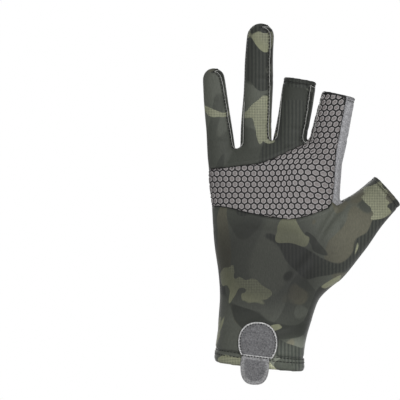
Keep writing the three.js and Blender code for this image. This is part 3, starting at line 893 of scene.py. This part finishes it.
# the last number of knit_colour and of plain_colour is how far painted shade darkens the seams
camo_jersey = new_material("camo_jersey", knit_colour(1.0, 0.22), height_from(KNIT), 0.62, 0.45, 0.0003, 0.25, 0.4)
hem_jersey = new_material("hem_jersey", knit_colour(1.15, 0.25), height_from(KNIT), 0.66, 0.45, 0.0003, 0.25, 0.4)
dark_jersey = new_material("dark_jersey", knit_colour(0.6, 0.3), height_from(KNIT), 0.7, 0.45, 0.0003, 0.2, 0.35)
grip_net = new_material("grip_net", mesh_colour, mesh_height, 0.6, 0.5, 0.0002)
grip_film = new_material("grip_film", cell_colour, film_height, 0.5, 0.15, 0.0001, specular=0.45)
grey_suede = new_material("grey_suede", plain_colour("#a0a0a3", FELT, 0.2), height_from(FELT), 0.85, 0.3, 0.0002, 0.3)
grey_felt = new_material("grey_felt", felt_colour, height_from(FELT), 0.95, 0.7, 0.0005, 0.4)
black_thread = new_material("black_thread", twist_colour("#1c1c1c"), twist_height, 0.7, 0.4, 0.0001)
silver_thread = new_material("silver_thread", twist_colour("#b4b5b0"), twist_height, 0.5, 0.4, 0.0001, 0.2)
print("materials:", len(bpy.data.materials))

# %% [markdown]
# ## The sewn panels
# Each panel is lifted out of the skin and gets the thickness of its cloth, inwards.


# %% Panels as pieces
def finished(bm, name, material, slot, *nodes):
    """Turns millimetres into metres and makes the piece, riding on the one body."""
    bmesh.ops.scale(bm, vec=(MM, MM, MM), verts=bm.verts)
    for face in bm.faces:
        face.smooth = True
        face.material_index = 0
    mesh = bpy.data.meshes.new(name)
    bm.to_mesh(mesh)
    bm.free()
    mesh.materials.append(material)
    piece = bpy.data.objects.new(name, mesh)
    bpy.context.scene.collection.objects.link(piece)
    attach(piece, "root")
    if nodes:
        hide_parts(*nodes)
    return piece


SEAM_ALLOWANCE, NARROWEST_CUT, LEAST_FILL = 1.0, 10.2, 0.31


def flat_size(panel, grain):
    """The flat cut of a panel: its widest section across the grain and its length along it, with seam allowance."""
    heights = [v.co.dot(grain) for v in panel.verts]
    low, high = min(heights), max(heights)
    widest = 0
    for share in (0.1, 0.3, 0.5, 0.7, 0.9):
        trial = panel.copy()
        cut = bmesh.ops.bisect_plane(trial, geom=[*trial.verts, *trial.edges, *trial.faces],
                                     plane_co=grain * (low + (high - low) * share), plane_no=grain)["geom_cut"]
        widest = max(widest, sum(e.calc_length() for e in cut if isinstance(e, bmesh.types.BMEdge)))
        trial.free()
    return [max(span + 2 * SEAM_ALLOWANCE, NARROWEST_CUT) for span in (widest, high - low)]


def declare_sheet(piece, size, area, held):
    """Says how large a piece of cloth is when cut, from millimetres. A very narrow strip's area is raised to the
    least share of its rectangle, as part of its turnings."""
    least = LEAST_FILL * size[0] * size[1]
    if area < least:
        print(piece.name, "own area", round(area / 100, 2), "raised to", round(least / 100, 2), "square cm")
    area = max(area, least)
    print(piece.name, "flat", [round(v, 1) for v in size], "mm, area", round(area / 100, 1), "square cm")


def along_axis(finger):
    lean = math.radians(finger["lean"])
    return Vector((math.sin(lean), 0, math.cos(lean)))


GRAINS = {
    "cuff_hem": Vector(WRIST_UP),
    "middle_opening_hem": along_axis(middle),
    "index_opening_hem": along_axis(index),
    "thumb_opening_hem": along_axis(THUMB),
    "thumb_gusset": along_axis(THUMB),
}
UPRIGHT = Vector((0, 0, 1))
PANEL_COLUMNS = ("piece", "material", "slot", "thick")
PANEL_ROWS = {
    "cuff_hem": ("cuff_band", hem_jersey, "hem_jersey", HEM_CLOTH),
    "middle_opening_hem": ("middle_edge", hem_jersey, "hem_jersey", HEM_CLOTH),
    "index_opening_hem": ("index_edge", hem_jersey, "hem_jersey", HEM_CLOTH),
    "thumb_opening_hem": ("thumb_edge", hem_jersey, "hem_jersey", HEM_CLOTH),
    "pinky_ring_gusset": ("pinky_ring_inset", dark_jersey, "dark_jersey", CLOTH),
    "ring_middle_gusset": ("ring_middle_inset", dark_jersey, "dark_jersey", CLOTH),
    "middle_index_gusset": ("middle_index_inset", dark_jersey, "dark_jersey", CLOTH),
    "thumb_gusset": ("thumb_inset", dark_jersey, "dark_jersey", CLOTH),
    "index_side_panel": ("index_side_strip", grey_suede, "grey_suede", CLOTH),
    "grip_patch": ("grip_base", grip_net, "grip_film", CLOTH),
    "finger_front_panel": ("finger_front_cloth", camo_jersey, "camo_jersey", CLOTH),
    "palm_panel": ("palm_cloth", camo_jersey, "camo_jersey", CLOTH),
    "back_panel": ("back_cloth", camo_jersey, "camo_jersey", CLOTH),
}
PIECES = {}
for node_name, values in PANEL_ROWS.items():
    row = dict(zip(PANEL_COLUMNS, values))
    panel = skin.copy()
    others = [f for f in panel.faces if f.material_index != LABEL[node_name]]
    bmesh.ops.delete(panel, geom=others, context="FACES")
    area = sum(f.calc_area() for f in panel.faces)
    size = flat_size(panel, GRAINS.get(node_name, UPRIGHT))
    piece = finished(panel, row["piece"], row["material"], row["slot"], node_name)
    thick = piece.modifiers.new("Cloth", "SOLIDIFY")
    thick.thickness = row["thick"] * MM
    thick.offset = -1
    PIECES[node_name] = piece
    declare_sheet(piece, size, area, "stretched")

# The grip net and the side strip run on to the index finger's cut end.
index_edge = PIECES["index_opening_hem"].data
index_edge.materials.append(grip_net)
index_edge.materials.append(grey_suede)
spots = np.array([p.center for p in index_edge.polygons]) / MM
on_grip = both(outline_field(GRIP), palm_side)(spots) < 0
on_strip = both(outline_field(SIDE_PANEL), palm_side)(spots) < 0
for polygon, grip, strip in zip(index_edge.polygons, on_grip, on_strip):
    polygon.material_index = 2 if strip else 1 if grip else 0

# %% [markdown]
# ## Grip cells
# Hexagons are laid out on the flat palm by arc length, so that they keep their width where the palm turns away.
# They are trimmed at the patch's seams, and each is raised in four small steps.

# %% The flat layout
CELL = 4.4
CELL_RADIUS = CELL / math.sqrt(3)
CELL_ROW = 1.5 * CELL_RADIUS
INDEX_LEAN = math.tan(math.radians(index["lean"]))


def column_line(z):
    """The reference column runs straight up the palm and then along the index finger."""
    start = index["across"] * HAND_WIDTH - 10 * INDEX_LEAN
    return start + max(0, z - 140) * INDEX_LEAN


def front_hit(x, z):
    return full_skin.ray_cast(Vector((x, -200, z)), Vector((0, 1, 0)))[0]


def level_row(z):
    """Arc lengths and points across the front at one height, measured from the reference column."""
    start = column_line(z)
    ends = []
    for way in (-1, 1):
        x, last = start, front_hit(start, z)
        while True:
            hit = front_hit(x + way * 0.5, z)
            if hit is None or abs(hit.y - last.y) > 4:
                break
            x, last = x + way * 0.5, hit
        ends.append(x + way * 0.2)
    low, high = ends
    xs = (low + high) / 2 + (high - low) / 2 * np.sin(np.linspace(-np.pi / 2, np.pi / 2, 140))
    hits = [front_hit(x, z) for x in xs]
    points = np.array([(h.x, h.y) for h in hits if h is not None])
    steps = np.hypot(*np.diff(points, axis=0).T)
    far = np.concatenate([[0], np.cumsum(steps)])
    return far - np.interp(start, points[:, 0], far), points


LEVELS = np.arange(94.0, 192.5, 1.0)
level_rows = [level_row(z) for z in LEVELS]


def on_palm(u, z):
    """The place on the cloth of a point of the flat layout."""
    share = np.clip((z - LEVELS[0]), 0, len(LEVELS) - 1.001)
    i = int(share)
    found = []
    for far, points in (level_rows[i], level_rows[i + 1]):
        x = np.interp(u, far, points[:, 0])
        y = np.interp(u, far, points[:, 1])
        over = max(0, u - far[-1]) + max(0, far[0] - u)
        found.append((x, y + over))
    (xa, ya), (xb, yb) = found
    f = share - i
    place = Vector((xa + (xb - xa) * f, ya + (yb - ya) * f, z))
    return cloth_tree.find_nearest(place)[0]


def pulled(u, z):
    """The patch is drawn towards the thumb's crotch."""
    dx, dz = u + 4.0, z - 127.0
    pull = 0.4 * math.exp(-(dx * dx + dz * dz) / (2 * 12.0**2))
    along = 0.92 * dx - 0.39 * dz
    return u + 0.92 * along * pull, z - 0.39 * along * pull


cells = bmesh.new()
for j in range(int((192 - 96) / CELL_ROW)):
    for i in range(-22, 8):
        centre = Vector((i * CELL + (j % 2) * CELL / 2, 96 + j * CELL_ROW, 0))
        bmesh.ops.create_circle(cells, cap_ends=True, segments=6, radius=CELL_RADIUS - 0.01,
                                matrix=Matrix.Translation(centre))
bmesh.ops.bevel(cells, geom=cells.verts[:], affect="VERTICES", offset=0.45, segments=1, profile=0.5, material=-1)
for vert in cells.verts:
    vert.co = on_palm(*pulled(vert.co.x, vert.co.y))
print("cells laid out:", len(cells.faces))

# %% Trimmed and raised cells
grip_field = both(outline_field(GRIP), palm_side)


def cell_field(p):
    return np.maximum(grip_field(p) + 0.12, along_across(index, p)[0] - index["length"] + 0.7)


split_along(cells, cell_field, lambda face: True)
centres = np.array([f.calc_center_median() for f in cells.faces])
keep = cell_field(centres) < 0
drop = [f for f, ok in zip(cells.faces, keep) if not ok or f.calc_area() < 1.3]
bmesh.ops.delete(cells, geom=drop, context="FACES")
bmesh.ops.recalc_face_normals(cells, faces=cells.faces)
for face in cells.faces:
    hit, normal, _, _ = cloth_tree.find_nearest(face.calc_center_median())
    if face.normal.dot(normal) < 0:
        face.normal_flip()
ring_layer = cells.verts.layers.float.new("ring")
tops = list(cells.faces)
gaps = bmesh.ops.inset_individual(cells, faces=tops, thickness=0.43, depth=0.02, use_even_offset=True)["faces"]
bmesh.ops.delete(cells, geom=gaps, context="FACES")
# each step's ring value places the cells' painted highlight and painted shade
RAISING = [("inset", "rise", "ring"), (0.1, 0.34, 0.3), (0.26, 0.12, 0.55), (0.26, 0.0, 0.8), (0.22, -0.06, 1.0)]
for inset, rise, ring in RAISING[1:]:
    tops = [f for f in tops if f.is_valid]
    bmesh.ops.inset_individual(cells, faces=tops, thickness=inset, depth=rise, use_even_offset=False)
    for face in tops:
        for vert in face.verts:
            vert[ring_layer] = ring
print("cells kept:", len(tops))
grip_cells = finished(cells, "grip_cells", grip_film, "grip_film")

# %% [markdown]
# ## Thread
# A rail is a row of even places along a seam, each with its direction and the cloth's normal.
# Stitches are small spindles laid on a rail, and a laid thread is a thin curve along it.


# %% Rails, stitches and laid threads
def smoothed(line, closed, passes=8):
    for _ in range(passes):
        if closed:
            line = (np.roll(line, 1, axis=0) + 2 * line + np.roll(line, -1, axis=0)) / 4
        else:
            line = np.vstack([line[:1], (line[:-2] + 2 * line[1:-1] + line[2:]) / 4, line[-1:]])
    return line


def rail(line, closed, pitch, aside=0.0, lift=0.0, towards=None):
    """Even places along a line on the cloth, moved aside, onto one panel's side if that is named."""
    line = smoothed(line, closed)
    if closed:
        line = np.vstack([line, line[:1]])
    far = np.concatenate([[0], np.cumsum(np.linalg.norm(np.diff(line, axis=0), axis=1))])
    count = max(3, round(far[-1] / pitch))
    at = np.linspace(0, far[-1], count, endpoint=not closed)
    points = np.column_stack([np.interp(at, far, line[:, k]) for k in range(3)])
    out = []
    for i, point in enumerate(points):
        ahead = points[(i + 1) % count] if closed or i < count - 1 else point
        behind = points[i - 1] if closed or i > 0 else point
        direction = Vector(ahead - behind).normalized()
        hit, normal, _, _ = cloth_tree.find_nearest(Vector(point))
        side = normal.cross(direction).normalized()
        if towards is not None:
            face = cloth_tree.find_nearest(hit + side * max(abs(aside), 0.8))[2]
            if skin.faces[face].material_index != towards:
                side = -side
        hit, normal, _, _ = cloth_tree.find_nearest(hit + side * aside)
        out.append((hit + normal * lift, direction, normal))
    return out


def add_stitches(bm, places_, length, radius, flat=0.8, turn=0.0):
    """Spindles along a rail, turned on the cloth by an angle."""
    for start in range(0, len(places_), 24):
        batch = bmesh.new()
        for point, direction, normal in places_[start:start + 24]:
            side = normal.cross(direction).normalized()
            run = (direction * math.cos(turn) + side * math.sin(turn)).normalized()
            side = normal.cross(run).normalized()
            frame_ = Matrix((side, normal, run)).transposed().to_4x4()
            shape = Matrix.Diagonal((radius, radius * flat, length / 2, 1))
            bmesh.ops.create_uvsphere(batch, u_segments=8, v_segments=6, radius=1,
                                      matrix=Matrix.Translation(point) @ frame_ @ shape)
        mesh = bpy.data.meshes.new("stitches")
        batch.to_mesh(mesh)
        batch.free()
        bm.from_mesh(mesh)
        bpy.data.meshes.remove(mesh)


def laid_threads(name, rows, radius, material):
    """Thin round threads as one curve piece."""
    curve = bpy.data.curves.new(name, "CURVE")
    curve.dimensions = "3D"
    curve.bevel_depth = radius * MM
    curve.bevel_resolution = 2
    curve.use_fill_caps = True
    for places_, closed in rows:
        spline = curve.splines.new("POLY")
        spline.points.add(len(places_) - 1)
        for point, (place, _, _) in zip(spline.points, places_):
            point.co = (*(place * MM), 1)
        spline.use_cyclic_u = closed
        spline.use_smooth = True
    curve.materials.append(material)
    piece = bpy.data.objects.new(name, curve)
    bpy.context.scene.collection.objects.link(piece)
    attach(piece, "root")
    return piece


def seams_of(name, *others):
    """The seam lines between a panel and others, or all its neighbours."""
    own = LABEL[name]
    wanted = {LABEL[o] for o in others} if others else set(LABEL.values()) - {own}
    return [row for pair, rows in SEAMS.items() if own in pair and (set(pair) - {own}) <= wanted and 0 not in pair
            for row in rows]


# %% Threads of the finger insets, the grip patch and the cuff
GUSSETS = ("pinky_ring_gusset", "ring_middle_gusset", "middle_index_gusset", "thumb_gusset")
CROTCH_THREAD_DEPTH = -6.5
dark_stitches, silver_lines, dark_lines = bmesh.new(), [], []
for name in GUSSETS:
    for line, closed in seams_of(name):
        if len(line) < 12:
            continue
        silver_lines.append((rail(line, closed, 1.2, 0.4, 0.2, LABEL[name]), closed))
        add_stitches(dark_stitches, rail(line, closed, 2.3, -0.4, 0.16, LABEL[name]), 2.0, 0.34)
        add_stitches(dark_stitches, rail(line, closed, 2.3, -1.6, 0.12, LABEL[name]), 1.8, 0.24)
for left, right in (("pinky", "ring"), ("ring", "middle"), ("middle", "index")):
    line = []
    for z in np.arange(0, 34, 1.0):
        low = (axis_point(FINGERS[left], 0, FINGERS[left]["root_width"] / 2)
               + axis_point(FINGERS[right], 0, -FINGERS[right]["root_width"] / 2)) / 2
        start = Vector((low[0] + z * math.tan(math.radians(FINGERS[right]["lean"])) * 0.6, CROTCH_THREAD_DEPTH,
                        low[1] + z))
        hit = cloth_tree.ray_cast(start, Vector((1, 0, 0)), 9)[0]
        if cloth_tree.ray_cast(start, Vector((-1, 0, 0)), 9)[0] is not None and hit is not None:
            line.append(hit)
    if len(line) > 8:
        silver_lines.append((rail(np.array(line), False, 1.2, 0.0, 0.2), False))
        dark_lines.append((rail(np.array(line), False, 1.2, -0.9, 0.15), False))
        print("crotch thread", left, right, len(line))
for name, others in (("grip_patch", ("palm_panel", "finger_front_panel", "index_side_panel", "back_panel")),
                     ("index_side_panel", ("back_panel",))):
    for line, closed in seams_of(name, *others):
        if len(line) < 12:
            continue
        dark_lines.append((rail(line, closed, 1.2, 0.0, 0.0), closed))
        if name == "index_side_panel":
            add_stitches(dark_stitches, rail(line, closed, 1.9, -0.8, 0.1, LABEL[name]), 1.2, 0.2)
for line, closed in seams_of("palm_panel", "back_panel") + seams_of("finger_front_panel", "back_panel"):
    if len(line) > 11:
        dark_lines.append((rail(line, closed, 1.4, 0.0, 0.05), closed))

cuff_lines = [row for row in SEAMS[(0, LABEL["cuff_hem"])] if row[1]]
cuff_edge = max(cuff_lines, key=lambda row: len(row[0]))[0]
for level in HEM_STITCHES:
    lifted = cuff_edge + np.array(WRIST_UP) * level
    add_stitches(dark_stitches, rail(lifted, True, 2.5, 0.0, 0.14), 2.1, 0.3)
print("dark stitches:", len(dark_stitches.verts) // 42)
seam_stitches = finished(dark_stitches, "seam_stitches", black_thread, "black_thread")
seam_threads = laid_threads("seam_threads", dark_lines, 0.12, black_thread)
silver_threads = laid_threads("silver_threads", silver_lines, 0.27, silver_thread)


# %% The rolled hem and the overlocked cut ends
def inner_place(line, inward):
    """The line of an open edge, moved into the thickness of its cloth."""
    out = []
    for place, direction, normal in rail(line, True, 1.2):
        out.append((place - normal * inward, direction, normal))
    return out


cuff_fold = laid_threads("cuff_fold", [(inner_place(cuff_edge, HEM_CLOTH / 2), True)], HEM_CLOTH / 2, hem_jersey)
overlock, edge_rolls = bmesh.new(), []
for name, finger in OPEN_ENDS.items():
    rows = SEAMS[(0, LABEL[f"{name}_opening_hem"])]
    line = max(rows, key=lambda row: len(row[0]))[0]
    edge_rolls.append((inner_place(line, 0.45), True))
    lean = math.radians(finger["lean"])
    down = Vector((-math.sin(lean), 0, -math.cos(lean)))
    loops = []
    for place, direction, normal in rail(line, True, 1.3):
        hit, outward, _, _ = cloth_tree.find_nearest(place + down * 1.0)
        if grip_field(np.array([hit]))[0] > 0.5:
            loops.append((hit + outward * 0.05, (down + direction * 0.35).normalized(), outward))
    add_stitches(overlock, loops, 1.9, 0.16)
    row = []
    for place, direction, normal in rail(line, True, 1.7):
        hit, outward, _, _ = cloth_tree.find_nearest(place + down * 2.5)
        if grip_field(np.array([hit]))[0] > 0.5:
            row.append((hit + outward * 0.08, direction, outward))
    add_stitches(overlock, row, 1.2, 0.22)
edge_roll = laid_threads("edge_rolls", edge_rolls, 0.45, dark_jersey)
overlock_loops = finished(overlock, "overlock_loops", black_thread, "black_thread")

# %% [markdown]
# ## Pull tab
# An oval felt patch with a piped edge, and a tongue of the same felt that hangs below the cuff.


# %% Felt pads
TAB_MIDDLE, TAB_SEAM_UP, TAB_SEAM_SLOPE = -1.7, 7.2, -0.12
PATCH_MIDDLE_UP, TONGUE_TAPER, FELT_NICK = 17.0, 0.06, 0.05


def tab_seam(x):
    """The seam between patch and tongue slopes as the hem does."""
    return TAB_SEAM_UP + TAB_SEAM_SLOPE * (x - TAB_MIDDLE)


def tapered(x, z):
    """The tongue's right side draws in towards its end."""
    return x - max(0, x - TAB_MIDDLE) * TONGUE_TAPER * max(0, TAB_SEAM_UP - z) / 9


def oval(centre, half_width, half_height, squareness, count=72):
    out = []
    for i in range(count):
        turn = 2 * math.pi * i / count
        out.append((centre[0] + half_width * over_power(math.cos(turn), squareness),
                    centre[1] + half_height * over_power(math.sin(turn), squareness)))
    return out


def felt_pad(name, outline, steps, thick, rim, *nodes):
    """A pad on the cuff from an outline, with rings of (inset, height) and a closed middle."""
    pad = bmesh.new()
    bmesh.ops.create_circle(pad, cap_ends=True, segments=len(outline), radius=1)
    pad.verts.ensure_lookup_table()
    for vert, (x, z) in zip(pad.verts, outline):
        vert.co = (x, z, steps[0][1])
    middle_face = list(pad.faces)
    pad.normal_update()
    middle_spot = Vector((*np.mean(outline, axis=0), 0))
    reach = float(np.mean([math.dist(point, middle_spot[:2]) for point in outline]))
    rim_layer = pad.verts.layers.float.new("rim")
    for vert in pad.verts:
        vert[rim_layer] = rim
    for i, (inset, height) in enumerate(steps[1:]):
        bmesh.ops.inset_individual(pad, faces=middle_face, thickness=FELT_NICK, use_even_offset=True)
        share = 1 - (inset - FELT_NICK) / reach
        reach -= inset
        for vert in middle_face[0].verts:
            vert.co = middle_spot + (vert.co - middle_spot) * share
            vert.co.z = height
            vert[rim_layer] = rim if i < 3 else 0.0
    bmesh.ops.poke(pad, faces=middle_face)
    for vert in pad.verts:
        x, z, height = vert.co
        hit, normal, _, _ = full_skin.ray_cast(Vector((x, -200, z)), Vector((0, 1, 0)))
        vert.co = hit + normal * height
    bmesh.ops.recalc_face_normals(pad, faces=pad.faces)
    if sum(f.normal.y for f in pad.faces) > 0:
        bmesh.ops.reverse_faces(pad, faces=pad.faces)
    piece = finished(pad, name, grey_felt, "grey_felt", *nodes)
    thickness = piece.modifiers.new("Felt", "SOLIDIFY")
    thickness.thickness = thick * MM
    thickness.offset = -1
    return piece


PATCH_OUTLINE = [(x, max(z, tab_seam(x))) for x, z in oval((TAB_MIDDLE, PATCH_MIDDLE_UP), 13.2, 14.4, 2.25)]
TONGUE_OUTLINE = [(tapered(x, z), min(z, tab_seam(x) - 0.15)) for x, z in oval((-3.6, 0.8), 9.9, 12.6, 2.6)]
BODY_RINGS = [(1.3, 1.75)] * 6
tab_patch = felt_pad("tab_patch_felt", PATCH_OUTLINE,
                     [(0, 1.25), (0.2, 1.75), (0.35, 1.95), (0.35, 1.7), (0.35, 1.4), (0.5, 1.65), *BODY_RINGS], 1.0, 1.0,
                     "pull_tab_patch")
tab_tongue = felt_pad("tab_tongue_felt", TONGUE_OUTLINE,
                      [(0, 1.2), (0.3, 1.6), (0.5, 1.7), (1.2, 1.7), (1.2, 1.7), (1.2, 1.7), (1.2, 1.7)], 1.0, 0.3,
                      "pull_tab_tongue")


def outline_area(outline):
    return abs(sum(x * d - c * z for (x, z), (c, d) in zip(outline, outline[1:] + outline[:1]))) / 2


for pad, outline, held, rests in ((tab_patch, PATCH_OUTLINE, "laid", "cuff_band"),
                                  (tab_tongue, TONGUE_OUTLINE, "hung", "tab_patch_felt")):
    spans = [max(column) - min(column) for column in zip(*outline)]
    declare_sheet(pad, spans, outline_area(outline), held)
tab_stitches = bmesh.new()


def front_line(points, height):
    """Points of the palm's view, laid on the front of the cuff at a height."""
    out = []
    for x, z in points:
        hit, normal, _, _ = full_skin.ray_cast(Vector((x, -200, z)), Vector((0, 1, 0)))
        out.append((hit + normal * height, normal))
    return out


def rail_on_front(points, height, pitch, closed):
    spots = front_line(points, height)
    line = np.array([p for p, _ in spots])
    if closed:
        line = np.vstack([line, line[:1]])
    far = np.concatenate([[0], np.cumsum(np.linalg.norm(np.diff(line, axis=0), axis=1))])
    count = round(far[-1] / pitch)
    at = np.linspace(0, far[-1], count, endpoint=not closed)
    points_ = [Vector([np.interp(a, far, line[:, k]) for k in range(3)]) for a in at]
    out = []
    for i, point in enumerate(points_):
        ahead, behind = points_[(i + 1) % count if closed else min(i + 1, count - 1)], points_[max(i - 1, 0)]
        normal = full_skin.find_nearest(point)[1]
        out.append((point, (ahead - behind).normalized(), normal))
    return out


stitch_oval = oval((TAB_MIDDLE, PATCH_MIDDLE_UP), 11.95, 13.15, 2.25)
PATCH_STITCHES = [(x, z) for x, z in stitch_oval[-18:] + stitch_oval[:-18] if z > tab_seam(x)]
add_stitches(tab_stitches, rail_on_front(PATCH_STITCHES, 1.62, 1.9, False), 1.25, 0.42)
add_stitches(tab_stitches, rail_on_front([(x, tab_seam(x)) for x in (-12, -5, 2, 8.5)], 1.85, 1.9, False), 1.25, 0.42)
tab_thread = finished(tab_stitches, "tab_stitches", black_thread, "black_thread")
print("tab stitches:", len(tab_thread.data.vertices) // 42)

# %% [markdown]
# ## Light, floor and camera
# A round pale floor lies well below the glove, in white surroundings.
# Large soft lamps stand in front and behind, and the camera looks straight at the palm through a long lens.

# %% Stage
floor_mesh = bpy.data.meshes.new("floor")
disc = bmesh.new()
bmesh.ops.create_circle(disc, cap_ends=True, segments=96, radius=2.4)
bmesh.ops.translate(disc, verts=disc.verts, vec=(0, 0, -0.32))
disc.to_mesh(floor_mesh)
disc.free()
floor = bpy.data.objects.new("floor", floor_mesh)
bpy.context.scene.collection.objects.link(floor)
pale = bpy.data.materials.new("pale_floor")
pale.use_nodes = True
pale.node_tree.nodes["Principled BSDF"].inputs["Base Color"].default_value = (0.9, 0.9, 0.9, 1)
pale.node_tree.nodes["Principled BSDF"].inputs["Roughness"].default_value = 0.9
floor_mesh.materials.append(pale)


def soft_light(name, place, towards, size, power):
    lamp = bpy.data.lights.new(name, "AREA")
    lamp.shape = "DISK"
    lamp.size = size
    lamp.energy = power
    holder = bpy.data.objects.new(name, lamp)
    holder.location = place
    holder.rotation_euler = (Vector(towards) - Vector(place)).to_track_quat("-Z", "Y").to_euler()
    bpy.context.scene.collection.objects.link(holder)
    return holder


middle_of_glove = (0.02, 0, 0.11)
LAMPS = [
    ("key", (0.62, -1.6, 0.7), 0.7, 16),
    ("fill", (-1.0, -1.5, 0.4), 1.0, 5),
    ("back_key", (-0.62, 1.6, 0.7), 0.7, 15),
    ("back_fill", (1.0, 1.5, 0.4), 1.0, 5),
    ("top", (0.0, 0.0, 1.6), 0.8, 3),
]
for name, place, size, power in LAMPS:
    soft_light(name, place, middle_of_glove, size, power)
world = bpy.data.worlds.new("studio")
world.use_nodes = True
surround = world.node_tree
lit = surround.nodes["Background"]
lit.inputs[0].default_value = (1, 1, 1, 1)
lit.inputs[1].default_value = 0.17
seen = node(surround, "ShaderNodeBackground", {0: (1, 1, 1, 1), 1: 1.0})
choose = node(surround, "ShaderNodeMixShader", {0: node(surround, "ShaderNodeLightPath").outputs["Is Camera Ray"],
                                                1: lit.outputs[0], 2: seen.outputs[0]})
surround.links.new(choose.outputs[0], surround.nodes["World Output"].inputs[0])
bpy.context.scene.world = world
bpy.context.scene.view_settings.view_transform = "Standard"

# %% Camera
PHOTO_SCALE = 0.0007
lens = bpy.data.cameras.new("camera")
lens.lens, lens.sensor_width = 200, 36
camera = bpy.data.objects.new("camera", lens)
distance = 400 * PHOTO_SCALE * lens.lens / lens.sensor_width
camera.location = (-59.5 * PHOTO_SCALE, -distance, 165.3 * PHOTO_SCALE)
camera.rotation_euler = (math.radians(90), 0, 0)
bpy.context.scene.collection.objects.link(camera)
bpy.context.scene.camera = camera
print("camera", [round(v, 4) for v in camera.location])
